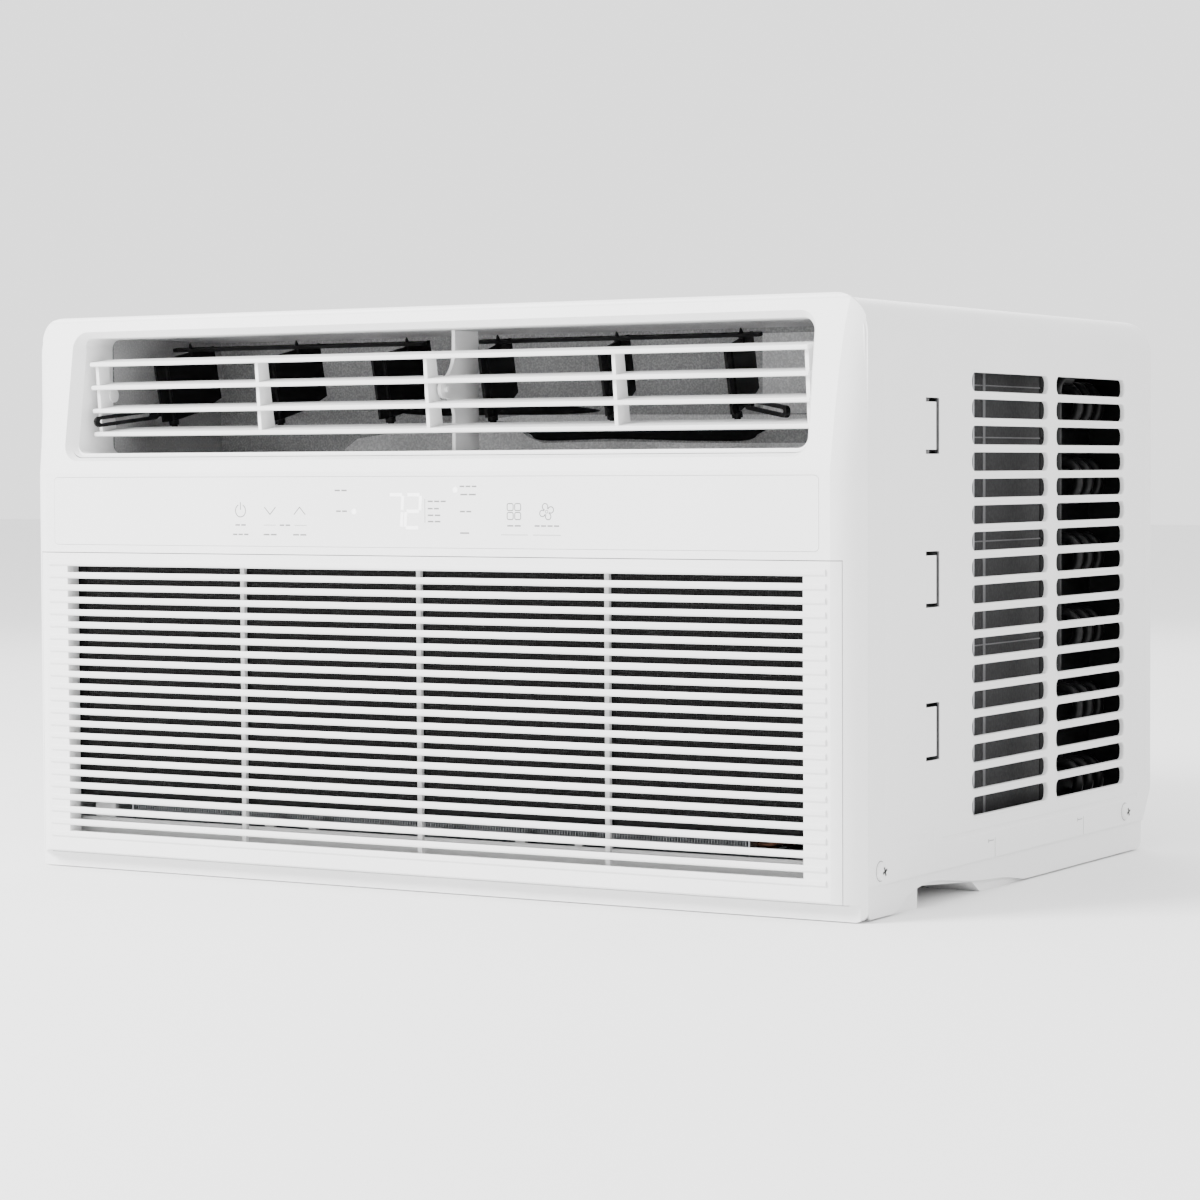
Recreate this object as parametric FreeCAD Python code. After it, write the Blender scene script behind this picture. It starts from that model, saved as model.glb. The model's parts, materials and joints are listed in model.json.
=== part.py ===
"""Window air conditioner, modelled as the pieces it comes apart into.

Millimetres, +Z up, +X along the width, the room side faces -Y.
The origin is the middle of the footprint, on the surface that the base pan rests on.
"""
import FreeCAD
import Part
import math
import os

V = FreeCAD.Vector
X_AXIS = V(1, 0, 0)
Y_AXIS = V(0, 1, 0)
Z_AXIS = V(0, 0, 1)

# ---------------------------------------------------------------- driving dimensions
WIDTH = 600.0
DEPTH = 450.0
HEIGHT = 357.5
HALF_W = WIDTH / 2
FRONT_Y = -DEPTH / 2
BACK_Y = DEPTH / 2

# cabinet: one bent sheet, top and both sides
SHEET = 1.2
CABINET_TOP = HEIGHT - 2.0
CABINET_FRONT_Y = FRONT_Y + 17.5
CABINET_BACK_Y = BACK_Y
CABINET_LOW_Z = 20.0
CABINET_CORNER_R = 21.0

# side vents
VENT_ROWS = 17
VENT_PITCH = 16.0
VENT_HEIGHT = 11.5
VENT_TOP_Z = 315.2
VENT_END_R = 4.8
VENT_COLUMNS = [(-66.5, 49.5), (62.0, 177.0)]

# three bent tabs on each side, for the window curtain frames
TAB_FRONT_Y = -131.0
TAB_BACK_Y = -112.5
TAB_SLIT = 2.5
TAB_SLIT_REAR = 5.0
TAB_BEND = 1.6
TAB_SPANS = [(266.0, 299.0), (176.0, 209.0), (86.0, 120.0)]

# pressed beads, as shallow grooves
BEAD_DEPTH = 0.55
FRONT_BEAD = ((-185.5, 58.0), (-185.5, 308.0), 7.0)
REAR_BEAD = ((214.5, 52.0), (214.5, 311.0), 5.0)
LOW_BEAD = ((-108.0, 37.5), (200.0, 37.5), 4.0)
SHORT_BEAD = ((-174.0, 40.5), (-132.0, 40.5), 7.0)
CROSS_BEAD = ((-120.0, 29.0), (-120.0, 46.0), 7.0)
CABINET_SPLIT_Z = 334.0
REAR_FLANGE_W = 12.0
FLANGE_SLITS = (-32.0, 108.0)
FLANGE_SLIT_W = 0.9

# holes for the upper window guide, and the opening for the mains lead
GUIDE_HOLES_X = [-200.0, 200.0]
GUIDE_HOLES_Y = -122.0
GUIDE_HOLE_D = 4.2
CORD_INLET_Y = -150.0
CORD_INLET_Z = 62.0
CORD_INLET_D = 16.0

# base pan
PAN_T = 1.5
PAN_HALF_W = HALF_W - SHEET - 0.3
PAN_FRONT_Y = FRONT_Y + 20.0
PAN_BACK_Y = BACK_Y - 13.0
PAN_WALL_TOP = 33.0
PAN_STEP_Y = -134.0
PAN_STEP_Z = 13.0
PAN_SILL_BACK = (-57.0, 7.0)
PAN_RAMP_END_Y = -45.0
PAN_SKIRT_GAP = 1.5
PAN_SKIRT_LOW_Z = 1.2
DRAIN_D = 18.0
DRAIN_XY = (-205.0, 186.0)

# front bezel
BEZEL_FACE_Y = FRONT_Y + 1.2
BEZEL_T = 2.5
BEZEL_FLAT_HALF = 281.5
BEZEL_LOW_Z = 11.5
BEZEL_LEAN_Z = 257.0
BEZEL_LEAN = 0.14
BEZEL_CORNER_R = 20.0
BEZEL_TOP_R = 3.4
SKIRT_Y = FRONT_Y + 12.0
SPIGOT_DEPTH = 10.0

# outlet
OUTLET_HALF_W = 265.0
OUTLET_LOW_Z = 269.5
OUTLET_HIGH_Z = 344.0
OUTLET_BEVEL = 6.0
RETURN_BACK_Y = -178.0

# control strip
STRIP_HALF_W = 277.0
STRIP_Z = (211.0, 254.0)
STRIP_T = 1.0

# intake grille
GRILLE_HALF_W = 290.0
GRILLE_TOP_Z = 205.5
GRILLE_BACK_Y = FRONT_Y + 12.5
SLAT_COUNT = 22
SLAT_PITCH = 8.0
SLAT_GAP = 4.0
FIRST_GAP_TOP = 197.0
SLAT_NOSE = 3.2
SLAT_WEB = (1.4, 3.0)
SLAT_DEPTH = 12.0
SLAT_HALF_W = 281.5
INTAKE_HALF_W = 267.0
GRILLE_RIBS = [-133.0, 0.0, 133.0]
FILTER_Z = (46.0, 203.0)
GRILLE_RIB_SET_BACK = 9.6
GRILLE_RIB_T = 3.0
GRILLE_HINGE_Y = -214.0
GRILLE_HINGE_Z = 18.0
GRILLE_SWING_R = 7.9
HINGE_PIN_D = 4.0
PIN_CLEARANCE = 0.05

# tilting louvre
LOUVRE_PIVOT_Y = -187.0
LOUVRE_PIVOT_Z = 307.4
LOUVRE_REST_TILT = 10.0
LOUVRE_BLADES = 4
LOUVRE_PITCH = 15.0
LOUVRE_HALF_W = 261.0
LOUVRE_FRONT = 17.5
LOUVRE_REAR = 3.5
LOUVRE_RIBS = [-258.5, -130.5, -3.0, 130.5, 258.5]
LOUVRE_RIB_T = 2.4
LOUVRE_RIB_DEPTH = 12.5
LOUVRE_PIN_D = 5.0
DIVIDER_X = (0.0, 2.4)
DIVIDER_EDGE_Y = -176.5
DIVIDER_NOSE_R = 5.8
DIVIDER_NOTCH = (-1.0, 3.4)

# swinging vanes: their axes lean forward at the top
VANE_LEAN = 13.0
VANE_SPLAY = 10.0
VANE_T = 1.8
VANE_H = 41.0
VANE_AHEAD = 9.5
VANE_BEHIND = 44.0
VANE_PITCH = 86.0
VANE_LEFT_X = [-232.0, -232.0 + VANE_PITCH, -232.0 + 2 * VANE_PITCH]
VANE_RIGHT_X = [16.5, 16.5 + VANE_PITCH, 16.5 + 2 * VANE_PITCH]
VANE_FOOT_Y = -156.0
VANE_FOOT_Z = 291.0
VANE_PIN_D = 4.0
LINK_ARM = 24.0
LINK_PIN_D = 2.4
LEVER_SWING = (26.5, 60.0)
LEVER_REACH = 57.0
LEVER_SLOPE = 7.7
LEVER_ROOT_Z = (297.3, 298.0)
LEVER_T = 3.0
LEVER_LOOP_H = 7.0
RAIL_Z = (281.0, 287.0)
RAIL_Y = (-163.0, -146.0)

# fan group, one shaft along Y
FAN_X = -40.0
FAN_Z = 168.0
SHAFT_D = 10.0
BLOWER_D = 186.0
BLOWER_Y = (-134.0, -64.0)
BLOWER_BLADES = 36
MOTOR_D = 112.0
MOTOR_Y = (-38.0, 34.0)
COOLING_FAN_D = 282.0
COOLING_FAN_Y = (84.0, 122.0)
COOLING_BLADES = 5

# air path
DUCT_HALF_W = 268.0
DUCT_WALL = 3.0
DUCT_Y = (-176.5, -58.0)
DUCT_Z = (265.0, 348.5)
BULKHEAD_Y = (-50.0, -48.5)
BULKHEAD_LOW_Z = 23.0
SCROLL_MOUTH_X = (FAN_X - 122.0, FAN_X + 118.0)
SCROLL_Y = (-146.0, -59.5)

# coils
TUBE_D = 7.0
EVAPORATOR_X = (-236.0, 216.0)
EVAPORATOR_Y = (-194.0, -152.0)
EVAPORATOR_Z = (26.0, 226.0)
DRAIN_PAN_Y = -203.2
CONDENSER_X = (-272.0, 256.0)
CONDENSER_Y = (150.0, 204.0)
CONDENSER_Z = (24.0, 340.0)
CONDENSER_WING_Y = 219.0
COIL_TUBE_PITCH = 25.0
FIN_PLATE_T = 1.2

# compressor
COMPRESSOR_X = 205.0
COMPRESSOR_Y = 22.0
COMPRESSOR_R = 56.0
COMPRESSOR_Z = (22.0, 232.0)
ACCUMULATOR_X = COMPRESSOR_X - 83.0
CAPILLARY_AT = (250.0, -98.0, 150.0)

# control box
BOX_X = (-258.0, -172.0)
BOX_Y = (-138.0, -62.0)
BOX_Z = (40.0, 236.0)

# fasteners
SCREW_HEAD_D = 11.0
SCREW_PLACES = [(-192.0, 28.0), (179.0, 28.5)]


# ---------------------------------------------------------------- helpers
def box(x, y, z):
    """Block between pairs of limits."""
    return Part.makeBox(x[1] - x[0], y[1] - y[0], z[1] - z[0], V(x[0], y[0], z[0]))


def centred(half_x, y, z):
    return box((-half_x, half_x), y, z)


def rod(start, end, diameter):
    """Round bar between two points."""
    start = V(*start)
    direction = V(*end) - start
    return Part.makeCylinder(diameter / 2, direction.Length, start, direction)


def prism(points, extrusion):
    """Straight prism over a closed polygon."""
    corners = [V(*p) for p in points]
    return Part.Face(Part.makePolygon(corners + corners[:1])).extrude(extrusion)


def prism_x(points_yz, x):
    return prism([(x[0], y, z) for y, z in points_yz], V(x[1] - x[0], 0, 0))


def prism_z(points_xy, z):
    return prism([(px, py, z[0]) for px, py in points_xy], V(0, 0, z[1] - z[0]))


def prism_y(points_xz, y):
    return prism([(px, y[0], pz) for px, pz in points_xz], V(0, y[1] - y[0], 0))


def fuse(shapes):
    joined = shapes[0].fuse(shapes[1:]) if len(shapes) > 1 else shapes[0]
    return joined.removeSplitter()





def turned(shape, centre, axis, angle):
    copy = shape.copy()
    copy.rotate(centre, axis, angle)
    return copy


def moved(shape, x=0.0, y=0.0, z=0.0):
    copy = shape.copy()
    copy.translate(V(x, y, z))
    return copy


def shaped_face(start, steps, place):
    """Face inside an outline of lines and arcs; a step is an end point, or a (through, end) pair for an arc."""
    edges = []
    last = start
    finish = steps[-1][1] if isinstance(steps[-1][0], tuple) else steps[-1]
    closing = [] if finish == start else [start]
    for step in steps + closing:
        if isinstance(step[0], tuple):
            through, end = step
            edges.append(Part.Arc(place(last), place(through), place(end)).toShape())
        else:
            end = step
            edges.append(Part.LineSegment(place(last), place(end)).toShape())
        last = end
    return Part.Face(Part.Wire(edges))


def rounded_block(x, y, z, radius, direction):
    """Block with its edges along one direction rounded."""
    block = box(x, y, z)
    edges = [e for e in block.Edges if abs(e.tangentAt(0).dot(direction)) > 0.99]
    return block.makeFillet(radius, edges)


def tube_path(points, radius):
    """Wire of straight runs joined by tangent arcs of one radius."""
    corners = [V(*p) for p in points]
    edges = []
    last = corners[0]
    for before, corner, after in zip(corners, corners[1:], corners[2:]):
        into = (corner - before).normalize()
        out = (after - corner).normalize()
        turn = into.getAngle(out)
        reach = radius * math.tan(turn / 2)
        start = corner - into * reach
        end = corner + out * reach
        bisector = (out - into).normalize()
        middle = corner + bisector * (radius / math.cos(turn / 2) - radius)
        if (start - last).Length > 1e-6:
            edges.append(Part.LineSegment(last, start).toShape())
        edges.append(Part.Arc(start, middle, end).toShape())
        last = end
    if (corners[-1] - last).Length > 1e-6:
        edges.append(Part.LineSegment(last, corners[-1]).toShape())
    return Part.Wire(edges)


def pipe(points, diameter, radius):
    """Bent round bar along a path."""
    wire = tube_path(points, radius)
    start = V(*points[0])
    direction = V(*points[1]) - start
    circle = Part.Wire(Part.makeCircle(diameter / 2, start, direction))
    return wire.makePipeShell([circle], True, False)


def revolved(points_ry, centre_x, centre_z, angle=360.0):
    """Solid turned about a line along Y; points are (radius, y)."""
    corners = [V(centre_x + r, y, centre_z) for r, y in points_ry]
    face = Part.Face(Part.makePolygon(corners + corners[:1]))
    return face.revolve(V(centre_x, 0, centre_z), Y_AXIS, angle)


PARTS = {}


def keep(name, shapes):
    """File one node; a list stays a group of separate solids."""
    if not isinstance(shapes, list):
        shapes = [shapes]
    solids = [solid for shape in shapes for solid in shape.Solids]
    PARTS[name] = solids[0] if len(solids) == 1 else Part.makeCompound(solids)


# ---------------------------------------------------------------- cabinet and base
def arch_prism(inset, y):
    """Inverted-U outline of the cabinet, filled, with round top corners."""
    block = box((-HALF_W + inset, HALF_W - inset), y, (CABINET_LOW_Z - 1.0, CABINET_TOP - inset))
    edges = [e for e in block.Edges
             if abs(e.tangentAt(0).y) > 0.99 and e.CenterOfMass.z > CABINET_TOP - inset - 1]
    return block.makeFillet(CABINET_CORNER_R - inset, edges)


def vent_slots(side):
    """Slots with round ends through one side wall."""
    slots = []
    x = side * HALF_W
    for row in range(VENT_ROWS):
        top = VENT_TOP_Z - VENT_PITCH * row
        for y in VENT_COLUMNS:
            slots.append(rounded_block((x - 4, x + 4), y, (top - VENT_HEIGHT, top), VENT_END_R, X_AXIS))
    return slots


def bead_tool(side, start, end, width):
    """Large round bar with ball ends that leaves a shallow soft-edged bead in a side wall."""
    radius = (width ** 2 / 4 + BEAD_DEPTH ** 2) / (2 * BEAD_DEPTH)
    x = side * (HALF_W + radius - BEAD_DEPTH)
    bar = rod((x, *start), (x, *end), 2 * radius)
    balls = [Part.makeSphere(radius, V(x, *point)) for point in (start, end)]
    return bar.fuse(balls)


def side_beads(side):
    """Pressed beads on one side wall."""
    return [bead_tool(side, *bead) for bead in (FRONT_BEAD, REAR_BEAD, LOW_BEAD, SHORT_BEAD, CROSS_BEAD)]


def tab_window(side, span):
    """Opening that a tab stands in."""
    x = (side * HALF_W - 4, side * HALF_W + 4)
    return box(x, (TAB_FRONT_Y, TAB_BACK_Y), span)


def tab_tongue(side, span):
    """Tab joined along its front edge and bent a little outward."""
    wall = side * HALF_W
    x = sorted((wall - side * SHEET, wall))
    tongue = box(x, (TAB_FRONT_Y - 0.4, TAB_BACK_Y - TAB_SLIT_REAR), (span[0] + TAB_SLIT, span[1] - TAB_SLIT))
    hinge = V(wall - side * SHEET, TAB_FRONT_Y, 0)
    return turned(tongue, hinge, Z_AXIS, side * -TAB_BEND)


def wrapper():
    """Painted sheet round the top and sides, with vents, tabs, beads and holes."""
    outer = arch_prism(0.0, (CABINET_FRONT_Y, CABINET_BACK_Y))
    inner = arch_prism(SHEET, (CABINET_FRONT_Y - 1, CABINET_BACK_Y + 1))
    shell = outer.cut(inner)
    rear_flange = arch_prism(SHEET / 2, (CABINET_BACK_Y - SHEET, CABINET_BACK_Y))
    rear_flange = rear_flange.cut(arch_prism(REAR_FLANGE_W, (CABINET_BACK_Y - 3, CABINET_BACK_Y + 3)))
    shell = shell.fuse(rear_flange)
    tools = [centred(HALF_W + 5, (CABINET_FRONT_Y - 5, CABINET_BACK_Y + 5),
                     (CABINET_LOW_Z - 5, CABINET_LOW_Z))]
    for side in (-1, 1):
        tools += vent_slots(side)
        tools += side_beads(side)
        for span in TAB_SPANS:
            tools.append(tab_window(side, span))
        wall = (side * HALF_W - 5, side * HALF_W + 5)
        half = FLANGE_SLIT_W / 2
        for slit_y in FLANGE_SLITS:
            tools.append(box(wall, (slit_y - half, slit_y + half), (CABINET_LOW_Z - 1, CABINET_LOW_Z + 12)))
        for y, z in SCREW_PLACES:
            tools.append(rod((wall[0], y, z), (wall[1], y, z), 5.2))
        corner = [(CABINET_BACK_Y + 1, CABINET_LOW_Z - 1), (CABINET_BACK_Y + 1, CABINET_LOW_Z + 22),
                  (CABINET_BACK_Y - 14, CABINET_LOW_Z - 1)]
        flange = (side * HALF_W - 16, side * HALF_W + 16)
        tools.append(prism_x(corner, flange))
    for x in GUIDE_HOLES_X:
        tools.append(rod((x, GUIDE_HOLES_Y, CABINET_TOP - 5), (x, GUIDE_HOLES_Y, CABINET_TOP + 5), GUIDE_HOLE_D))
    tools.append(rod((-HALF_W - 5, CORD_INLET_Y, CORD_INLET_Z), (-HALF_W + 5, CORD_INLET_Y, CORD_INLET_Z),
                     CORD_INLET_D))
    shell = shell.cut(tools)
    tongues = [tab_tongue(side, span) for side in (-1, 1) for span in TAB_SPANS]
    return shell.fuse(tongues)


def cabinet():
    """The wrapper as its roof and two side walls, which meet below the round corners."""
    shell = wrapper()
    y = (CABINET_FRONT_Y - 5, CABINET_BACK_Y + 5)
    keep("cabinet_top", shell.common(centred(HALF_W + 5, y, (CABINET_SPLIT_Z, HEIGHT + 5))))
    for name, x in (("cabinet_left", (-HALF_W - 5, 0.0)), ("cabinet_right", (0.0, HALF_W + 5))):
        keep(name, shell.common(box(x, y, (0.0, CABINET_SPLIT_Z))))


def pan_outline(lift, inset):
    """Side outline of the tray: a foot at the front, a step up over the sill, then flat to the back."""
    front = PAN_FRONT_Y + inset
    back = PAN_BACK_Y - inset
    return [(front, lift + 6), (front + 6, lift), (PAN_STEP_Y - inset, lift),
            (PAN_STEP_Y - inset, lift + PAN_STEP_Z), (PAN_SILL_BACK[0], lift + PAN_SILL_BACK[1]),
            (PAN_RAMP_END_Y + inset, lift), (back - 8, lift), (back, lift + 8),
            (back, PAN_WALL_TOP + inset * 2), (front, PAN_WALL_TOP + inset * 2)]


def pan_skirt(side):
    """Outer wall hemmed down beside the tray, its low edge swept up over the sill."""
    low = PAN_SKIRT_LOW_Z
    start = (PAN_FRONT_Y, PAN_WALL_TOP)
    steps = [(PAN_FRONT_Y, low + 4.0), ((PAN_FRONT_Y + 1.2, low + 1.2), (PAN_FRONT_Y + 4.0, low)),
             (-174.0, low), ((-163.0, low + 2.8), (-154.0, low + 7.8)), ((-138.0, low + 11.6), (-112.0, low + 12.8)),
             (PAN_SILL_BACK[0], PAN_SILL_BACK[1] + 0.8), (-17.0, 5.6), ((0.0, 3.6), (15.0, low)),
             (PAN_BACK_Y - 6.0, low), ((PAN_BACK_Y - 1.8, low + 1.8), (PAN_BACK_Y, low + 6.0)),
             (PAN_BACK_Y, PAN_WALL_TOP)]
    x = min(side * PAN_HALF_W, side * (PAN_HALF_W - PAN_T))
    face = shaped_face(start, steps, lambda point: V(x, *point))
    return face.extrude(V(PAN_T, 0, 0))


def base_pan():
    """Drawn tray with a hemmed side wall, screw holes and a drain hole."""
    tray_half = PAN_HALF_W - PAN_T - PAN_SKIRT_GAP
    outer = prism_x(pan_outline(0.0, 0.0), (-tray_half, tray_half))
    inner = prism_x(pan_outline(PAN_T, PAN_T), (-tray_half + PAN_T, tray_half - PAN_T))
    pan = outer.cut(inner)
    hem_z = (PAN_WALL_TOP - PAN_T, PAN_WALL_TOP)
    for side in (-1, 1):
        hem = box(sorted((side * (tray_half - PAN_T), side * PAN_HALF_W)), (PAN_FRONT_Y, PAN_BACK_Y), hem_z)
        pan = pan.fuse([pan_skirt(side), hem])
    for y, z in SCREW_PLACES:
        pan = pan.cut(rod((-HALF_W, y, z), (HALF_W, y, z), 3.4))
    x, y = DRAIN_XY
    pan = pan.cut(rod((x, y, -5), (x, y, 10), DRAIN_D))
    return pan.removeSplitter()


def cabinet_screws():
    """Truss-head screws through the cabinet into the pan."""
    screws = []
    for side in (-1, 1):
        wall = side * HALF_W
        for y, z in SCREW_PLACES:
            head = Part.makeSphere(8.0, V(wall - side * 5.2, y, z))
            keep_out = box(sorted((wall, wall + side * 8)), (y - 9, y + 9), (z - 9, z + 9))
            head = head.common(keep_out)
            recess = [box(sorted((wall + side * 1.2, wall + side * 5)), (y - 2.6, y + 2.6), (z - 0.5, z + 0.5)),
                      box(sorted((wall + side * 1.2, wall + side * 5)), (y - 0.5, y + 0.5), (z - 2.6, z + 2.6))]
            head = head.cut(recess)
            shank = rod((wall + side * 0.2, y, z), (wall - side * 8, y, z), 3.4)
            screws.append(head.fuse(shank))
    return screws


# ---------------------------------------------------------------- front
def front_plan(inset, recede, back_y, z):
    """Level outline of the front moulding: a flat face with a swept corner at each end."""
    face = BEZEL_FACE_Y + inset + recede - 1.0
    flat = BEZEL_FLAT_HALF - 2.2 - inset * 0.4
    side = HALF_W - inset
    corner_end = max(BEZEL_FACE_Y + 17.0, face + 3.4)
    through = (0.62 * side + 0.38 * flat, 0.3 * corner_end + 0.7 * face)
    steps = [(flat, face), (through, (side, corner_end)), (side, back_y + 1), (-side, back_y + 1),
             (-side, corner_end), ((-through[0], through[1]), (-flat, face))]
    return shaped_face((-flat, face), steps, lambda p: V(*p, z)).OuterWire


def front_form(inset, back_y):
    """Outer form of the front moulding, shrunk by an inset."""
    face = BEZEL_FACE_Y + inset
    top = HEIGHT - inset
    lean_top = top - BEZEL_TOP_R
    lean_end = face + BEZEL_LEAN * (lean_top - BEZEL_LEAN_Z)
    profile = [(SKIRT_Y + inset, BEZEL_LOW_Z - 1 + inset), (face + 1, BEZEL_LOW_Z + inset),
               (face, BEZEL_LOW_Z + 1 + inset), (face, BEZEL_LEAN_Z), (lean_end, lean_top),
               ((lean_end + 0.75, top - 0.95), (lean_end + 2.6, top)), (back_y, top),
               (back_y, 0.6 + inset)]
    side_view = shaped_face((SKIRT_Y + inset, 0.6 + inset), profile, lambda p: V(-HALF_W, *p))
    side_view = side_view.extrude(V(WIDTH, 0, 0))
    side = HALF_W - inset
    recede = BEZEL_LEAN * (HEIGHT - BEZEL_LEAN_Z)
    plan_view = Part.makeLoft([front_plan(inset, 0.0, back_y, 0.0), front_plan(inset, 0.0, back_y, BEZEL_LEAN_Z),
                               front_plan(inset, recede, back_y, HEIGHT)], True, True)
    outline = box((-side, side), (FRONT_Y - 5, back_y + 5), (0.6 + inset, top))
    round_edges = [e for e in outline.Edges if abs(e.tangentAt(0).y) > 0.99 and e.CenterOfMass.z > 200]
    outline = outline.makeFillet(BEZEL_CORNER_R - inset, round_edges)
    low_edges = [e for e in outline.Edges
                 if abs(e.tangentAt(0).y) > 0.99 and e.CenterOfMass.z < 5 + inset]
    outline = outline.makeFillet(6.0, low_edges)
    return side_view.common(plan_view).common(outline)


def outlet_prism(grow, y):
    """Rounded rectangle of the outlet, extruded along Y."""
    return rounded_block((-OUTLET_HALF_W - grow, OUTLET_HALF_W + grow), y,
                         (OUTLET_LOW_Z - grow, OUTLET_HIGH_Z + grow), 6.0 + grow, Y_AXIS)


def outlet_bevel():
    """Tool that widens the outlet towards the face, leaning back with it."""
    lean = math.degrees(math.atan(BEZEL_LEAN))
    rims = []
    for grow, y in ((0.0, BEZEL_FACE_Y + 8.0), (OUTLET_BEVEL, BEZEL_FACE_Y - 2.0)):
        block = outlet_prism(grow, (y, y + 1.0))
        near = min(block.Faces, key=lambda face: face.CenterOfMass.y)
        rims.append(near.OuterWire)
    tool = Part.makeLoft(rims, True, True)
    return turned(tool, V(0, BEZEL_FACE_Y, BEZEL_LEAN_Z), X_AXIS, -lean)


def front_bezel():
    outer = front_form(0.0, CABINET_FRONT_Y)
    spigot_y = (CABINET_FRONT_Y - 1, CABINET_FRONT_Y + SPIGOT_DEPTH)
    spigot = arch_prism(SHEET + 0.4, spigot_y).cut(
        [arch_prism(SHEET + 0.4 + BEZEL_T, (spigot_y[0] - 1, spigot_y[1] + 1)),
         centred(HALF_W, (spigot_y[0] - 1, spigot_y[1] + 1), (0, PAN_WALL_TOP + 5))])
    hollow = front_form(SHEET + 0.8 + BEZEL_T, CABINET_FRONT_Y + 5)
    body = outer.cut(hollow).fuse(spigot)
    floor_cut = centred(HALF_W - 12, (SKIRT_Y + 4, CABINET_FRONT_Y + 20), (-5, 8))
    body = body.cut(floor_cut)
    cheeks = outlet_prism(BEZEL_T, (BEZEL_FACE_Y + 6, RETURN_BACK_Y)).cut(
        outlet_prism(0.0, (BEZEL_FACE_Y, RETURN_BACK_Y + 1)))
    cheeks = cheeks.common(front_form(0.5, RETURN_BACK_Y + 1))
    body = body.fuse(cheeks)
    intake = centred(GRILLE_HALF_W + 0.5, (FRONT_Y - 5, GRILLE_BACK_Y + 0.6), (BEZEL_LOW_Z - 2, GRILLE_TOP_Z + 0.5))
    shelf = centred(INTAKE_HALF_W + 6, (GRILLE_BACK_Y - 2, GRILLE_BACK_Y + 4), (16.0, GRILLE_TOP_Z - 4))
    strip = rounded_block((-STRIP_HALF_W - 0.25, STRIP_HALF_W + 0.25), (FRONT_Y - 5, BEZEL_FACE_Y + STRIP_T),
                          (STRIP_Z[0] - 0.25, STRIP_Z[1] + 0.25), 3.0, Y_AXIS)
    window = centred(60, (FRONT_Y, BEZEL_FACE_Y + 6), (222, 243))
    hinge_holes = [rod((side * (GRILLE_HALF_W - 3), GRILLE_HINGE_Y, GRILLE_HINGE_Z),
                       (side * (GRILLE_HALF_W + 4.5), GRILLE_HINGE_Y, GRILLE_HINGE_Z),
                       HINGE_PIN_D + 2 * PIN_CLEARANCE) for side in (-1, 1)]
    pivot_hole = rod((-OUTLET_HALF_W - 2.2, LOUVRE_PIVOT_Y, LOUVRE_PIVOT_Z),
                     (OUTLET_HALF_W + 2.2, LOUVRE_PIVOT_Y, LOUVRE_PIVOT_Z), LOUVRE_PIN_D + 2 * PIN_CLEARANCE)
    backing = [box(sorted((side * (GRILLE_HALF_W + 0.5), side * (HALF_W - 3))),
                   (GRILLE_HINGE_Y - 6, GRILLE_HINGE_Y + 5), (12.0, 26.0)) for side in (-1, 1)]
    backing = [b.common(front_form(0.5, CABINET_FRONT_Y)) for b in backing]
    body = body.cut([intake, shelf]).fuse(backing)
    swing = rod((-GRILLE_HALF_W - 0.5, GRILLE_HINGE_Y, GRILLE_HINGE_Z),
                (GRILLE_HALF_W + 0.5, GRILLE_HINGE_Y, GRILLE_HINGE_Z), 2 * GRILLE_SWING_R)
    body = body.cut([outlet_prism(0.0, (FRONT_Y - 5, BEZEL_FACE_Y + 30)), outlet_bevel(), strip, window,
                     pivot_hole, swing] + hinge_holes)
    return body


def duct_divider():
    """Upright plate at the middle of the outlet, with the round lug that carries the louvre's centre pin."""
    back = -150.0
    edge = DIVIDER_EDGE_Y
    low = OUTLET_LOW_Z + 0.1
    high = OUTLET_HIGH_Z - 0.1
    pivot = LOUVRE_PIVOT_Z
    steps = [(edge, low), (edge, pivot - 17.5), ((edge - 2.0, pivot - 10.5), (edge - 8.0, pivot - 5.2)),
             ((LOUVRE_PIVOT_Y - DIVIDER_NOSE_R, pivot), (LOUVRE_PIVOT_Y - 1.5, pivot + 5.6)),
             ((edge - 4.6, pivot + 11.5), (edge, pivot + 21.0)), (edge, high)]
    outline = shaped_face((back, high), [(back, low)] + steps, lambda p: V(DIVIDER_X[0], *p))
    plate = outline.extrude(V(DIVIDER_X[1] - DIVIDER_X[0], 0, 0))
    hole = rod((DIVIDER_X[0] - 1, LOUVRE_PIVOT_Y, pivot), (DIVIDER_X[1] + 1, LOUVRE_PIVOT_Y, pivot),
               LOUVRE_PIN_D - 1 + 2 * PIN_CLEARANCE)
    return plate.cut(hole)


def control_overlay():
    return rounded_block((-STRIP_HALF_W, STRIP_HALF_W), (BEZEL_FACE_Y - 0.1, BEZEL_FACE_Y + STRIP_T),
                         STRIP_Z, 2.8, Y_AXIS)


def display_board():
    board = centred(150.0, (BEZEL_FACE_Y + 6.6, BEZEL_FACE_Y + 8.2), (216.0, 250.0))
    lamp = box((-29.0, 1.0), (BEZEL_FACE_Y + 1.6, BEZEL_FACE_Y + 6.7), (224.0, 241.0))
    return board.fuse(lamp)


def slat_profile(z_low):
    """Cross-section of one slat: a tall shallow nose with a thin web behind it."""
    face = SLAT_PITCH - SLAT_GAP
    nose_back = FRONT_Y + SLAT_NOSE
    back = FRONT_Y + SLAT_DEPTH
    return [(FRONT_Y + 0.9, z_low), (FRONT_Y, z_low + 1.0), (FRONT_Y, z_low + face - 1.0),
            (FRONT_Y + 0.9, z_low + face), (nose_back, z_low + face - 0.2), (nose_back, z_low + SLAT_WEB[1]),
            (back, z_low + SLAT_WEB[1]), (back, z_low + SLAT_WEB[0]), (nose_back, z_low + SLAT_WEB[0]),
            (nose_back, z_low)]


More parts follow.
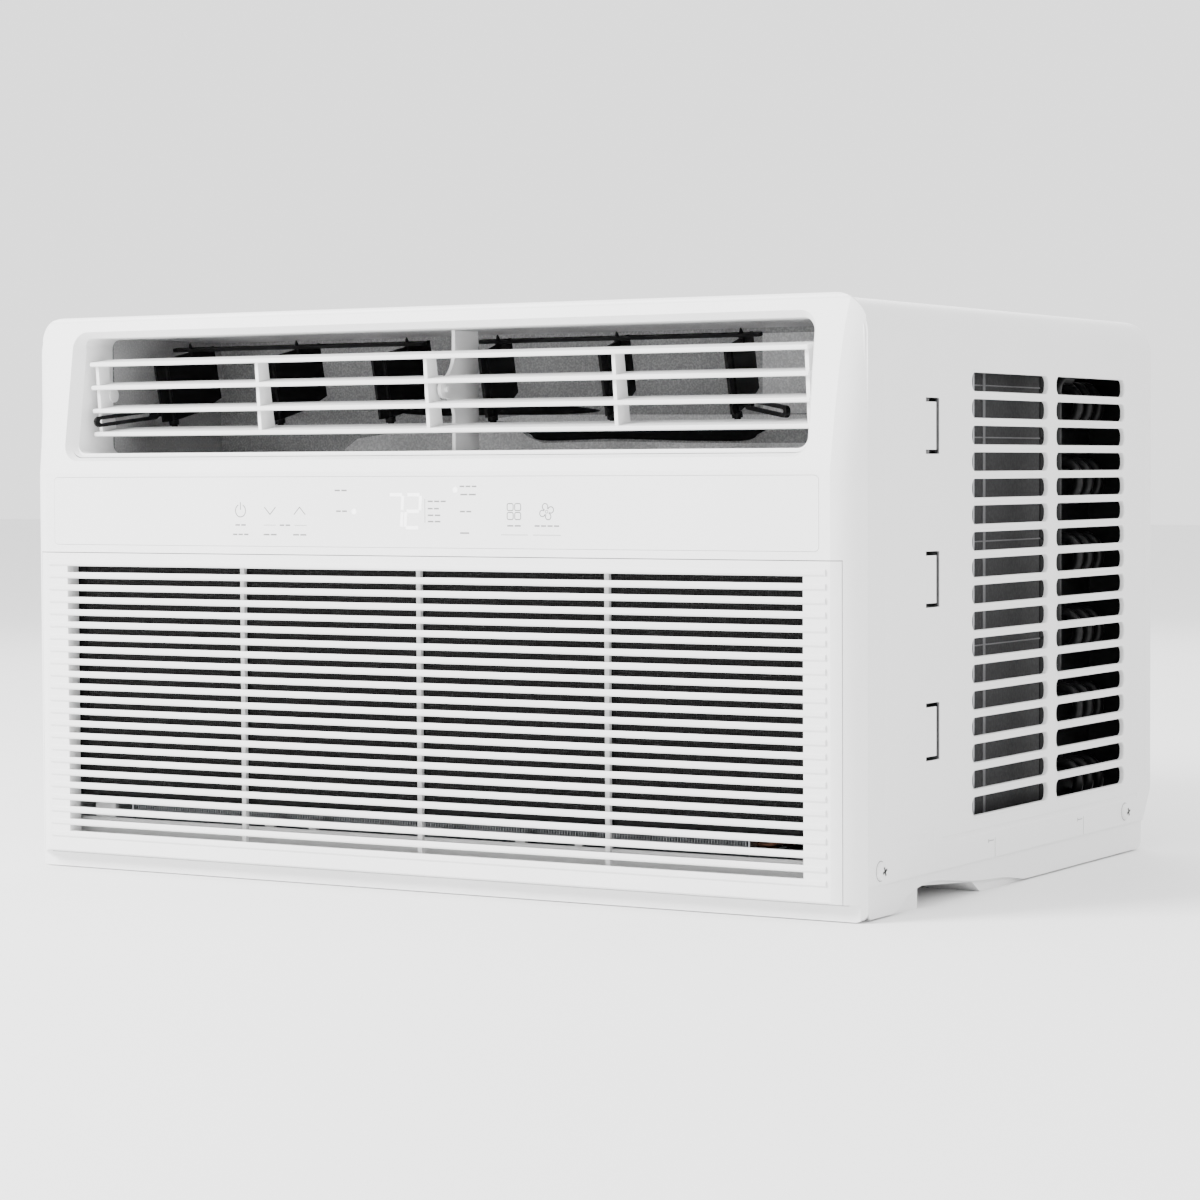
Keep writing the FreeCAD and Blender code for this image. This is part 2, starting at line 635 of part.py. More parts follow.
def intake_grille():
    limits = centred(GRILLE_HALF_W, (FRONT_Y - 2, GRILLE_BACK_Y), (BEZEL_LOW_Z - 0.5, GRILLE_TOP_Z))
    body = front_form(0.0, CABINET_FRONT_Y).common(limits)
    hollow = front_form(BEZEL_T, CABINET_FRONT_Y + 5)
    low = FIRST_GAP_TOP - SLAT_PITCH * (SLAT_COUNT - 1) - SLAT_GAP
    hollow = hollow.common(centred(GRILLE_HALF_W - 3, (FRONT_Y, GRILLE_BACK_Y + 1), (low - 8, GRILLE_TOP_Z - 3)))
    body = body.cut(hollow)
    opening = centred(INTAKE_HALF_W, (FRONT_Y - 3, GRILLE_BACK_Y + 1), (low, FIRST_GAP_TOP))
    body = body.cut(opening)
    slats = []
    for i in range(SLAT_COUNT + 1):
        z_low = FIRST_GAP_TOP - SLAT_PITCH * i
        slats.append(prism_x(slat_profile(z_low), (-SLAT_HALF_W, SLAT_HALF_W)))
    side_trim = [box(sorted((side * (INTAKE_HALF_W + BEZEL_T), side * (HALF_W))),
                     (BEZEL_FACE_Y + BEZEL_T, 0), (0, HEIGHT)) for side in (-1, 1)]
    slats = [slat.cut(side_trim) for slat in slats]
    half = GRILLE_RIB_T / 2
    ribs = [box((x - half, x + half), (FRONT_Y + GRILLE_RIB_SET_BACK, GRILLE_BACK_Y), (low - 2, FIRST_GAP_TOP + 2))
            for x in GRILLE_RIBS]
    walls = [box(sorted((side * INTAKE_HALF_W, side * (INTAKE_HALF_W + BEZEL_T))),
                 (BEZEL_FACE_Y + 1, GRILLE_BACK_Y), (low - 2, FIRST_GAP_TOP + 2)) for side in (-1, 1)]
    grips = [box(sorted((side * (GRILLE_HALF_W - 3.2), side * (GRILLE_HALF_W + 1))),
                 (GRILLE_BACK_Y - 5.5, GRILLE_BACK_Y - 4.3), (159.0, 196.0)) for side in (-1, 1)]
    pins = [rod((side * (GRILLE_HALF_W - 5), GRILLE_HINGE_Y, GRILLE_HINGE_Z),
                (side * (GRILLE_HALF_W + 4), GRILLE_HINGE_Y, GRILLE_HINGE_Z), HINGE_PIN_D) for side in (-1, 1)]
    bosses = [box(sorted((side * (GRILLE_HALF_W - 6), side * (GRILLE_HALF_W - 0.4))),
                  (BEZEL_FACE_Y + 8, GRILLE_BACK_Y), (GRILLE_HINGE_Z - 4, GRILLE_HINGE_Z + 4)) for side in (-1, 1)]
    body = body.fuse(slats + ribs + walls + bosses)
    body = body.cut(grips)
    body = body.fuse(pins)
    return body.removeSplitter()


def filter_frame():
    y = (GRILLE_BACK_Y + 1.0, GRILLE_BACK_Y + 5.0)
    z = FILTER_Z
    frame = centred(INTAKE_HALF_W + 1, y, z).cut(centred(INTAKE_HALF_W - 6, (y[0] - 1, y[1] + 1), (z[0] + 7, z[1] - 7)))
    bars = [box((x - 2, x + 2), (y[0] + 1, y[1] - 1), (z[0] + 5, z[1] - 5)) for x in (-133.0, 0.0, 133.0)]
    bars += [centred(INTAKE_HALF_W - 3, (y[0] + 1, y[1] - 1), (h - 1.5, h + 1.5)) for h in (98.0, 150.0)]
    return frame.fuse(bars).removeSplitter()


def filter_mesh():
    y = (GRILLE_BACK_Y + 1.4, GRILLE_BACK_Y + 2.0)
    return centred(INTAKE_HALF_W - 6.0, y, (FILTER_Z[0] + 7.0, FILTER_Z[1] - 7.0))


# ---------------------------------------------------------------- outlet movement
def louvre_grid():
    """One moulding: blades, upright ribs and pins, set at its rest tilt."""
    pivot = V(0, LOUVRE_PIVOT_Y, LOUVRE_PIVOT_Z)
    pieces = []
    front = LOUVRE_PIVOT_Y - LOUVRE_FRONT
    rear = LOUVRE_PIVOT_Y + LOUVRE_REAR
    first = LOUVRE_PITCH * (LOUVRE_BLADES - 1) / 2
    for i in range(LOUVRE_BLADES):
        w = LOUVRE_PIVOT_Z + first - LOUVRE_PITCH * i
        rake = 0.09 * (w - LOUVRE_PIVOT_Z)
        nose = front + rake
        profile = [(nose, w - 0.8), (nose, w + 0.8), (nose + 0.8, w + 1.4), (nose + 2.6, w + 1.4),
                   (nose + 4.5, w + 1.1), (rear, w + 0.7), (rear, w - 0.7), (nose + 4.5, w - 1.1),
                   (nose + 2.6, w - 1.4), (nose + 0.8, w - 1.4)]
        pieces.append(prism_x(profile, (-LOUVRE_HALF_W, LOUVRE_HALF_W)))
    for x in LOUVRE_RIBS:
        half = LOUVRE_RIB_T / 2
        top = LOUVRE_PIVOT_Z + first
        low = LOUVRE_PIVOT_Z - first
        rib_rear = front + 4.0 + LOUVRE_RIB_DEPTH
        outline = [(front + 4.0 - 0.09 * first, low), (front + 4.0 + 0.09 * first, top), (rib_rear, top),
                   (rib_rear, low)]
        pieces.append(prism_x(outline, (x - half, x + half)))
    boss_x = LOUVRE_RIBS[-1]
    for side in (-1, 1):
        pieces.append(rod((side * (boss_x - 2), LOUVRE_PIVOT_Y, LOUVRE_PIVOT_Z),
                          (side * (boss_x + 4.6), LOUVRE_PIVOT_Y, LOUVRE_PIVOT_Z), 9.0))
        pieces.append(rod((side * boss_x, LOUVRE_PIVOT_Y, LOUVRE_PIVOT_Z),
                          (side * (OUTLET_HALF_W + 1.8), LOUVRE_PIVOT_Y, LOUVRE_PIVOT_Z), LOUVRE_PIN_D))
    notch = box(DIVIDER_NOTCH, (LOUVRE_PIVOT_Y - 8.5, rear + 1),
                (LOUVRE_PIVOT_Z - LOUVRE_PITCH + 1, LOUVRE_PIVOT_Z + LOUVRE_PITCH - 1))
    centre_rib = LOUVRE_RIBS[2]
    pin_start = (centre_rib, LOUVRE_PIVOT_Y, LOUVRE_PIVOT_Z)
    centre_pin = rod(pin_start, (4.4, LOUVRE_PIVOT_Y, LOUVRE_PIVOT_Z), LOUVRE_PIN_D - 1)
    arm = box((centre_rib - LOUVRE_RIB_T / 2, centre_rib + LOUVRE_RIB_T / 2), (LOUVRE_PIVOT_Y - 4, rear - 0.5),
              (LOUVRE_PIVOT_Z - 4, LOUVRE_PIVOT_Z + 4))
    grid = fuse(pieces).cut(notch).fuse([centre_pin, arm])
    return turned(grid, pivot, X_AXIS, LOUVRE_REST_TILT)


def vane_frame(shape, x, splay):
    """Set a vane piece, made upright with its axis on Z at the origin, onto its leaning axis."""
    placed = turned(shape, V(0, 0, 0), Z_AXIS, splay)
    placed = turned(placed, V(0, 0, 0), X_AXIS, VANE_LEAN)
    return moved(placed, x, VANE_FOOT_Y, VANE_FOOT_Z)


def vane_blank():
    """Upright vane: blade, foot pin into the rail, link pin on top."""
    half = VANE_T / 2
    outline = [(-VANE_AHEAD, 1.0), (-VANE_AHEAD, VANE_H), (VANE_BEHIND, VANE_H), (VANE_BEHIND, 6.0),
               (VANE_BEHIND - 22, 0.8), (0, 0.0)]
    blade = prism_x(outline, (-half, half))
    barrel = rod((0, 0, 0), (0, 0, VANE_H), 3.6)
    collar = rod((0, 0, -2.6), (0, 0, 0.4), 6.5)
    foot = rod((0, 0, -8.6), (0, 0, 0), VANE_PIN_D)
    link_pin = rod((0, LINK_ARM, VANE_H - 3), (0, LINK_ARM, VANE_H + 3.4), LINK_PIN_D)
    tip = Part.makeCone(LINK_PIN_D / 2, 0.4, 2.4, V(0, LINK_ARM, VANE_H + 3.4), Z_AXIS)
    shoulder = rod((0, LINK_ARM, VANE_H - 5), (0, LINK_ARM, VANE_H + 0.3), 4.0)
    return fuse([blade, barrel, collar, foot, link_pin, tip, shoulder])


def link_bar(x_list, side):
    """Flat bar that joins the three vanes of one bank."""
    bar_low = VANE_H + 0.7
    across = side * LINK_ARM * math.sin(math.radians(VANE_SPLAY))
    back = LINK_ARM * math.cos(math.radians(VANE_SPLAY))
    span = (x_list[0] - 14, x_list[-1] + 14)
    bar = rounded_block((span[0] - across, span[1] - across), (back - 3, back + 3),
                        (bar_low, bar_low + 2.0), 2.9, Z_AXIS)
    holes = [rod((x - across, back, bar_low - 1), (x - across, back, bar_low + 3), LINK_PIN_D + 0.1)
             for x in x_list]
    bar = bar.cut(holes)
    bar = turned(bar, V(0, 0, 0), X_AXIS, VANE_LEAN)
    return moved(bar, 0, VANE_FOOT_Y, VANE_FOOT_Z)


def lever_blank():
    """Upright finger loop on a stalk that clips round a vane; points forward along -Y from the origin."""
    half_t = LEVER_T / 2
    half_h = LEVER_LOOP_H / 2
    stalk = box((-half_t, half_t), (-14.0, 8.0), (-2.2, 2.2))
    loop = rounded_block((-half_t, half_t), (-LEVER_REACH, -11.0), (-half_h, half_h), half_h - 0.1, X_AXIS)
    slot = rounded_block((-half_t - 1, half_t + 1), (-LEVER_REACH + 3.2, -17.0), (-1.2, 1.2), 1.15, X_AXIS)
    ring = rod((0, 0, -2.6), (0, 0, 2.6), 7.6)
    return fuse([stalk, loop, ring]).cut(slot)


def outlet_movement():
    keep("louvre_grid", louvre_grid())
    blank = vane_blank()
    lever = turned(lever_blank(), V(0, 0, 0), X_AXIS, LEVER_SLOPE)
    banks = (("l", "left", VANE_LEFT_X, -1), ("r", "right", VANE_RIGHT_X, 1))
    for (bank, word, x_list, side), swing, root_z in zip(banks, LEVER_SWING, LEVER_ROOT_Z):
        splay = side * VANE_SPLAY
        for number, x in enumerate(x_list, 1):
            keep("vane_%s%d" % (bank, number), vane_frame(blank, x, splay))
        keep("link_" + word, link_bar(x_list, side))
        outer = x_list[0] if side < 0 else x_list[-1]
        piece = turned(lever, V(0, 0, 0), Z_AXIS, side * swing)
        piece = moved(piece, outer, VANE_FOOT_Y, root_z)
        pieces = piece.cut(vane_frame(blank, outer, splay)).Solids
        keep("lever_" + word, max(pieces, key=lambda solid: solid.Volume))


def vane_rail():
    """Shelf across the duct that carries the feet of the vanes."""
    rail = centred(DUCT_HALF_W - DUCT_WALL - 0.2, RAIL_Y, RAIL_Z)
    holes = []
    foot = rod((0, 0, -14), (0, 0, 4), VANE_PIN_D + 2 * PIN_CLEARANCE)
    for x in VANE_LEFT_X + VANE_RIGHT_X:
        holes.append(vane_frame(foot, x, 0))
    gap = box((-0.6, 3.0), (RAIL_Y[0] - 1, RAIL_Y[1] + 1), (RAIL_Z[0] - 1, RAIL_Z[1] + 1))
    return rail.cut(holes + [gap])


# ---------------------------------------------------------------- air path
def outlet_duct():
    """Foam-lined plenum behind the outlet, open to the front and down into the scroll."""
    outer = prism_x([(DUCT_Y[0], DUCT_Z[0]), (DUCT_Y[1], DUCT_Z[0]), (DUCT_Y[1], DUCT_Z[1]),
                     (DUCT_Y[0] + 20, DUCT_Z[1]), (DUCT_Y[0], OUTLET_HIGH_Z + DUCT_WALL)],
                    (-DUCT_HALF_W, DUCT_HALF_W))
    inner = prism_x([(DUCT_Y[0] - 1, DUCT_Z[0] + DUCT_WALL), (DUCT_Y[1] - DUCT_WALL, DUCT_Z[0] + DUCT_WALL),
                     (DUCT_Y[1] - DUCT_WALL, DUCT_Z[1] - DUCT_WALL), (DUCT_Y[0] + 20, DUCT_Z[1] - DUCT_WALL),
                     (DUCT_Y[0] - 1, OUTLET_HIGH_Z + 0.2)],
                    (-DUCT_HALF_W + DUCT_WALL, DUCT_HALF_W - DUCT_WALL))
    mouth = box(SCROLL_MOUTH_X, (-140, DUCT_Y[1] - DUCT_WALL - 1), (DUCT_Z[0] - 1, DUCT_Z[0] + DUCT_WALL + 1))
    return outer.cut([inner, mouth])


def blower_scroll():
    """Housing round the blower wheel: open at the eye and at the top."""
    radius = BLOWER_D / 2 + 22
    ring = rod((FAN_X, SCROLL_Y[0], FAN_Z), (FAN_X, SCROLL_Y[1], FAN_Z), 2 * radius)
    chimney = box((FAN_X - radius, FAN_X + radius), SCROLL_Y, (FAN_Z, DUCT_Z[0] - 0.4))
    wall = 2.0
    ring_in = rod((FAN_X, SCROLL_Y[0] + wall, FAN_Z), (FAN_X, SCROLL_Y[1] - wall, FAN_Z), 2 * (radius - wall))
    chimney_in = box((FAN_X - radius + wall, FAN_X + radius - wall), (SCROLL_Y[0] + wall, SCROLL_Y[1] - wall),
                     (FAN_Z, DUCT_Z[0] + 2))
    eye = rod((FAN_X, SCROLL_Y[0] - 1, FAN_Z), (FAN_X, SCROLL_Y[0] + 3, FAN_Z), BLOWER_D - 30)
    shaft_hole = rod((FAN_X, SCROLL_Y[1] - 3, FAN_Z), (FAN_X, SCROLL_Y[1] + 3, FAN_Z), 30)
    above = centred(HALF_W, (SCROLL_Y[0] - 1, SCROLL_Y[1] + 1), (DUCT_Z[0] - 0.4, HEIGHT))
    return ring.fuse(chimney).cut([ring_in.fuse(chimney_in), eye, shaft_hole, above])


def bulkhead():
    """Wall between the room side and the outdoor side."""
    wall = centred(PAN_HALF_W - 5, BULKHEAD_Y, (BULKHEAD_LOW_Z, DUCT_Z[1] - 1))
    hole = rod((FAN_X, BULKHEAD_Y[0] - 1, FAN_Z), (FAN_X, BULKHEAD_Y[1] + 1, FAN_Z), 34)
    pipes = box((226.0, 262.0), (BULKHEAD_Y[0] - 1, BULKHEAD_Y[1] + 1), (60.0, 250.0))
    wall = wall.common(arch_prism(SHEET + 0.8, BULKHEAD_Y))
    return wall.cut([hole, pipes])


def drain_pan():
    """Tray under the evaporator, with upright ribs along its front."""
    y = (DRAIN_PAN_Y, EVAPORATOR_Y[1] + 14)
    tray = centred(272.0, y, (17.0, 31.0)).cut(centred(269.5, (y[0] + 2.5, y[1] - 2.5), (19.0, 33.0)))
    posts = [box((x, x + w), (y[0], y[0] + 3.0), (17.0, top)) for x, w, top in
             ((-262.0, 16.0, 46.0), (-126.0, 7.0, 38.0), (-92.0, 6.0, 38.0), (61.0, 7.0, 38.0),
              (103.0, 5.0, 38.0))]
    supports = centred(250.0, (-176.0, -168.0), (2.0, 17.2))
    tray = tray.fuse(posts + [supports])
    return tray.removeSplitter()


def finned_coil(x, y, z, rows):
    """Fin block, hairpin tubes with return bends, and two end plates."""
    block = box(x, y, z)
    pitch_y = (y[1] - y[0]) / rows
    heights = []
    height = z[0] + COIL_TUBE_PITCH / 2
    while height < z[1] - COIL_TUBE_PITCH * 0.4:
        heights.append(height)
        height += COIL_TUBE_PITCH
    bores = []
    tubes = []
    for row in range(rows):
        tube_y = y[0] + pitch_y * (row + 0.5)
        for tube_z in heights:
            bores.append(rod((x[0] - 3, tube_y, tube_z), (x[1] + 3, tube_y, tube_z), TUBE_D + 0.02))
        for pair in range(len(heights) // 2):
            low = heights[2 * pair]
            high = heights[2 * pair + 1]
            reach = 13.0
            tubes.append(pipe([(x[0] - 4, tube_y, low), (x[1] + reach + 6, tube_y, low),
                               (x[1] + reach + 6, tube_y, high), (x[0] - 4, tube_y, high)],
                              TUBE_D, COIL_TUBE_PITCH / 2 - 0.5))
    plates = []
    for x0 in (x[0] - FIN_PLATE_T - 0.6, x[1] + 0.6):
        plate = box((x0, x0 + FIN_PLATE_T), (y[0] - 2, y[1] + 2), (z[0] - 2, z[1] + 4))
        plates.append(plate.cut(bores))
    return block.cut(bores), tubes, plates


def coils():
    fins, tubes, plates = finned_coil(EVAPORATOR_X, EVAPORATOR_Y, EVAPORATOR_Z, 2)
    keep("evaporator_fins", fins)
    keep("evaporator_tubes", tubes)
    keep("evaporator_end_plates", plates)
    fins, tubes, plates = finned_coil(CONDENSER_X, CONDENSER_Y, CONDENSER_Z, 3)
    for i, side in enumerate((-1, 1)):
        near = CONDENSER_X[i] + side * 0.6
        z = (PAN_WALL_TOP + 3.0, CONDENSER_Z[1] + 4)
        wing = box(sorted((near, near + side * FIN_PLATE_T)), (CONDENSER_Y[1], CONDENSER_WING_Y), z)
        seal = box(sorted((near, side * (HALF_W - 4.0))), (CONDENSER_WING_Y, CONDENSER_WING_Y + FIN_PLATE_T), z)
        plates[i] = plates[i].fuse([wing, seal])
    keep("condenser_fins", fins)
    keep("condenser_tubes", tubes)
    keep("condenser_end_plates", plates)


def fan_shroud():
    """Orifice plate round the condenser fan, tied to the condenser."""
    y = (96.0, 145.0)
    plate = box((-278.0, 262.0), (y[1] - 1.5, y[1]), (PAN_T + 3.5, 338.0))
    ring_r = COOLING_FAN_D / 2 + 8
    ring = rod((FAN_X, y[0], FAN_Z), (FAN_X, y[1], FAN_Z), 2 * ring_r + 4)
    hole = rod((FAN_X, y[0] - 1, FAN_Z), (FAN_X, y[1] + 1, FAN_Z), 2 * ring_r)
    return plate.fuse(ring).cut(hole)


def side_baffle():
    """Dark plates just inside the front columns of vents, with a fold towards the bulkhead."""
    plates = []
    for side in (-1, 1):
        plate = box(sorted((side * 281.0, side * 282.5)), (-46.5, 88.0), (36.0, 336.0))
        fold = box(sorted((side * 268.0, side * 282.5)), (-46.5, -45.0), (36.0, 336.0))
        plates.append(plate.fuse(fold))
    return plates


# ---------------------------------------------------------------- fan group
def fan_motor():
    body = revolved([(0, MOTOR_Y[0]), (MOTOR_D / 2 - 14, MOTOR_Y[0]), (MOTOR_D / 2 - 4, MOTOR_Y[0] + 10),
                     (MOTOR_D / 2 - 4, MOTOR_Y[0] + 26), (MOTOR_D / 2, MOTOR_Y[0] + 26),
                     (MOTOR_D / 2, MOTOR_Y[1] - 26), (MOTOR_D / 2 - 4, MOTOR_Y[1] - 26),
                     (MOTOR_D / 2 - 4, MOTOR_Y[1] - 10), (MOTOR_D / 2 - 14, MOTOR_Y[1]), (0, MOTOR_Y[1])],
                    FAN_X, FAN_Z)
    bore = rod((FAN_X, MOTOR_Y[0] - 1, FAN_Z), (FAN_X, MOTOR_Y[1] + 1, FAN_Z), SHAFT_D + 2 * PIN_CLEARANCE)
    return body.cut(bore)


def motor_bracket():
    """Saddle from the base pan up to the motor, with feet."""
    post = box((FAN_X - 48, FAN_X + 48), (-12.0, 8.0), (PAN_T + 5.5, FAN_Z))
    hollow = box((FAN_X - 44, FAN_X + 44), (-10.0, 9.0), (PAN_T + 8.0, FAN_Z + 1))
    feet = box((FAN_X - 66, FAN_X + 66), (-14.0, 24.0), (PAN_T + 3.2, PAN_T + 6))
    saddle = rod((FAN_X, -20, FAN_Z), (FAN_X, 20, FAN_Z), MOTOR_D + 0.8)
    return post.cut(hollow).fuse(feet).cut(saddle)


def motor_screws():
    screws = []
    for dx in (-60, 60):
        for y in (-6.0, 18.0):
            screws.append(rod((FAN_X + dx, y, PAN_T + 6.02), (FAN_X + dx, y, PAN_T + 9.4), 8.0))
    return screws


def blower_wheel():
    """Forward-curved wheel: hub plate, ring of blades and a rim."""
    radius = BLOWER_D / 2
    hub_y = BLOWER_Y[1] - 2
    hub = rod((FAN_X, hub_y, FAN_Z), (FAN_X, BLOWER_Y[1], FAN_Z), BLOWER_D)
    boss = rod((FAN_X, hub_y - 26, FAN_Z), (FAN_X, hub_y + 1, FAN_Z), 30)
    rim = rod((FAN_X, BLOWER_Y[0], FAN_Z), (FAN_X, BLOWER_Y[0] + 5, FAN_Z), BLOWER_D).cut(
        rod((FAN_X, BLOWER_Y[0] - 1, FAN_Z), (FAN_X, BLOWER_Y[0] + 6, FAN_Z), BLOWER_D - 31))
    blade = prism_y([(radius - 13, -1.2), (radius - 6, 1.6), (radius - 0.8, 7.6), (radius - 1.6, 8.8),
                     (radius - 7, 3.0), (radius - 13, 0.2)], (BLOWER_Y[0] + 2, BLOWER_Y[1] - 1))
    blades = []
    for i in range(BLOWER_BLADES):
        one = turned(blade, V(0, 0, 0), Y_AXIS, 360.0 / BLOWER_BLADES * i)
        blades.append(moved(one, FAN_X, 0, FAN_Z))
    bore = rod((FAN_X, -150, FAN_Z), (FAN_X, 0, FAN_Z), SHAFT_D)
    return hub.fuse([boss, rim] + blades).cut(bore)


def condenser_fan():
    """Axial fan with a ring round its blade tips that slings condensate onto the coil."""
    radius = COOLING_FAN_D / 2
    middle = (COOLING_FAN_Y[0] + COOLING_FAN_Y[1]) / 2
    hub = rod((FAN_X, COOLING_FAN_Y[0], FAN_Z), (FAN_X, COOLING_FAN_Y[1], FAN_Z), 74)
    ring = rod((FAN_X, middle + 4, FAN_Z), (FAN_X, middle + 18, FAN_Z), COOLING_FAN_D).cut(
        rod((FAN_X, middle, FAN_Z), (FAN_X, middle + 20, FAN_Z), COOLING_FAN_D - 4))
    blade = prism_z([(30, -26), (radius - 2.6, -50), (radius - 2.6, 46), (30, 26)], (-1.2, 1.2))
    blade = blade.common(rod((0, 0, -3), (0, 0, 3), 2 * (radius - 0.6)))
    blades = []
    for i in range(COOLING_BLADES):
        one = turned(blade, V(0, 0, 0), X_AXIS, 90 - 24)
        one = turned(one, V(0, 0, 0), Y_AXIS, 360.0 / COOLING_BLADES * i)
        blades.append(moved(one, FAN_X, middle + 3, FAN_Z))
    bore = rod((FAN_X, 60, FAN_Z), (FAN_X, 160, FAN_Z), SHAFT_D)
    return hub.fuse([ring] + blades).cut(bore)


def fan_shaft():
    return rod((FAN_X, BLOWER_Y[0] + 18, FAN_Z), (FAN_X, COOLING_FAN_Y[1] + 14, FAN_Z), SHAFT_D)


def shaft_nuts():
    """Nuts that hold the two wheels on the shaft."""
    nuts = []
    for y in (BLOWER_Y[1] - 2 - 26 - 8.5, COOLING_FAN_Y[1] + 0.02):
        corners = [(FAN_X + 9 * math.cos(math.radians(60 * i)), FAN_Z + 9 * math.sin(math.radians(60 * i)))
                   for i in range(6)]
        nuts.append(prism_y(corners, (y, y + 8.4)).cut(rod((FAN_X, y - 1, FAN_Z), (FAN_X, y + 10, FAN_Z), SHAFT_D)))
    return nuts


# ---------------------------------------------------------------- refrigerant circuit
def compressor_shell():
    z0, z1 = COMPRESSOR_Z
    body = rod((COMPRESSOR_X, COMPRESSOR_Y, z0 + 12), (COMPRESSOR_X, COMPRESSOR_Y, z1), 2 * COMPRESSOR_R)
    rims = [e for e in body.Edges if e.Closed]
    body = body.makeFillet(17.0, rims)
    feet = []
    for i in range(3):
        arm = box((20.0, 76.0), (-13.0, 13.0), (z0 + 10.5, z0 + 13.0))
        arm = arm.cut(rod((66.0, 0, z0), (66.0, 0, z0 + 20), 12.0))
        feet.append(moved(turned(arm, V(0, 0, 0), Z_AXIS, 100 + 120 * i), COMPRESSOR_X, COMPRESSOR_Y))
    return body.fuse(feet)


def compressor_mounts():
    """Rubber bushes in the feet, and the nuts above them."""
    grommets = []
    nuts = []
    z0 = COMPRESSOR_Z[0]
    for i in range(3):
        angle = math.radians(100 + 120 * i)
        x = COMPRESSOR_X + 66.0 * math.cos(angle)
        y = COMPRESSOR_Y + 66.0 * math.sin(angle)
        bush = fuse([rod((x, y, PAN_T + 3.6), (x, y, z0 + 10.4), 22.0), rod((x, y, z0 + 10.4), (x, y, z0 + 15), 11.8)])
        grommets.append(bush)
        nuts.append(rod((x, y, z0 + 15.05), (x, y, z0 + 20), 13.0))
    return grommets, nuts


def accumulator():
    body = rod((ACCUMULATOR_X, COMPRESSOR_Y + 20, 90.0), (ACCUMULATOR_X, COMPRESSOR_Y + 20, 205.0), 44.0)
    return body.makeFillet(16.0, [e for e in body.Edges if e.Closed])


def terminal_cover():
    cap = rod((COMPRESSOR_X, COMPRESSOR_Y, COMPRESSOR_Z[1] + 0.3), (COMPRESSOR_X, COMPRESSOR_Y, COMPRESSOR_Z[1] + 24), 58.0)
    return cap.makeFillet(6.0, [e for e in cap.Edges if e.Closed and e.CenterOfMass.z > COMPRESSOR_Z[1] + 10])


def discharge_line():
    """From the compressor's head over to the condenser's top circuit."""
    top = COMPRESSOR_Z[1]
    x = COMPRESSOR_X + 34.0
    loop_y = COMPRESSOR_Y + 58.0
    return pipe([(x, COMPRESSOR_Y, top + 0.1), (x, COMPRESSOR_Y, top + 58), (x, loop_y, top + 58),
                 (276.0, loop_y, top + 58), (276.0, loop_y, 120.0), (276.0, 118.0, 120.0),
                 (276.0, 118.0, 316.0), (276.0, 141.0, 316.0)], 8.0, 10.0)


def suction_line():
    """From the evaporator, through the bulkhead, down to the accumulator."""
    return pipe([(244.0, -160.0, 206.0), (244.0, -90.0, 206.0), (244.0, -62.0, 240.0), (244.0, -20.0, 240.0),
                 (ACCUMULATOR_X, -20.0, 262.0), (ACCUMULATOR_X, COMPRESSOR_Y + 20, 262.0),
                 (ACCUMULATOR_X, COMPRESSOR_Y + 20, 205.1)], 9.0, 11.0)


def capillary_tube():
    """Coil of thin tube between the condenser's outlet and the evaporator."""
    turns = 4
    per_turn = 8
    radius = 16.0
    rise = 3.6 / per_turn
    points = []
    for i in range(turns * per_turn + 1):
        angle = 2 * math.pi * i / per_turn
        points.append((CAPILLARY_AT[0] + radius * math.cos(angle), CAPILLARY_AT[1] + radius * math.sin(angle),
                       CAPILLARY_AT[2] + rise * i))
    return pipe(points, 2.4, 12.0)


# ---------------------------------------------------------------- electrics and small pieces
def control_box():
    outer = box(BOX_X, BOX_Y, BOX_Z)
    inner = box((BOX_X[0] + 1.5, BOX_X[1] - 1.5), (BOX_Y[0] - 1, BOX_Y[1] - 1.5), (BOX_Z[0] + 1.5, BOX_Z[1] - 1.5))
    return outer.cut(inner)


def control_box_cover():
    return box(BOX_X, (BOX_Y[0] - 1.6, BOX_Y[0] - 0.1), BOX_Z)


def run_capacitor():
    x = (BOX_X[0] + BOX_X[1]) / 2
    y = (BOX_Y[0] + BOX_Y[1]) / 2
    can = rod((x, y, BOX_Z[0] + 2), (x, y, BOX_Z[0] + 92), 46.0)
    return can.makeFillet(2.0, [e for e in can.Edges if e.Closed])


def thermistor():
    bulb = rod((-180.0, EVAPORATOR_Y[0] - 4.5, 120.0), (-180.0, EVAPORATOR_Y[0] - 4.5, 150.0), 5.0)
    clip = box((-185.0, -175.0), (EVAPORATOR_Y[0] - 2.5, EVAPORATOR_Y[0] - 0.1), (128.0, 136.0))
    return bulb.fuse(clip)


def cord_inlet():
    """Grommet for the mains lead in the left wall of the cabinet."""
    out = -HALF_W - 2.8
    wall = -HALF_W
    flange_out = rod((out, CORD_INLET_Y, CORD_INLET_Z), (wall - 0.02, CORD_INLET_Y, CORD_INLET_Z), 22.0)
    neck = rod((wall - 0.1, CORD_INLET_Y, CORD_INLET_Z), (wall + SHEET + 0.1, CORD_INLET_Y, CORD_INLET_Z), CORD_INLET_D)
    flange_in = rod((wall + SHEET + 0.02, CORD_INLET_Y, CORD_INLET_Z), (wall + SHEET + 3, CORD_INLET_Y, CORD_INLET_Z), 21.0)
    bore = rod((out - 1, CORD_INLET_Y, CORD_INLET_Z), (wall + 8, CORD_INLET_Y, CORD_INLET_Z), 9.0)
    return fuse([flange_out, neck, flange_in]).cut(bore)


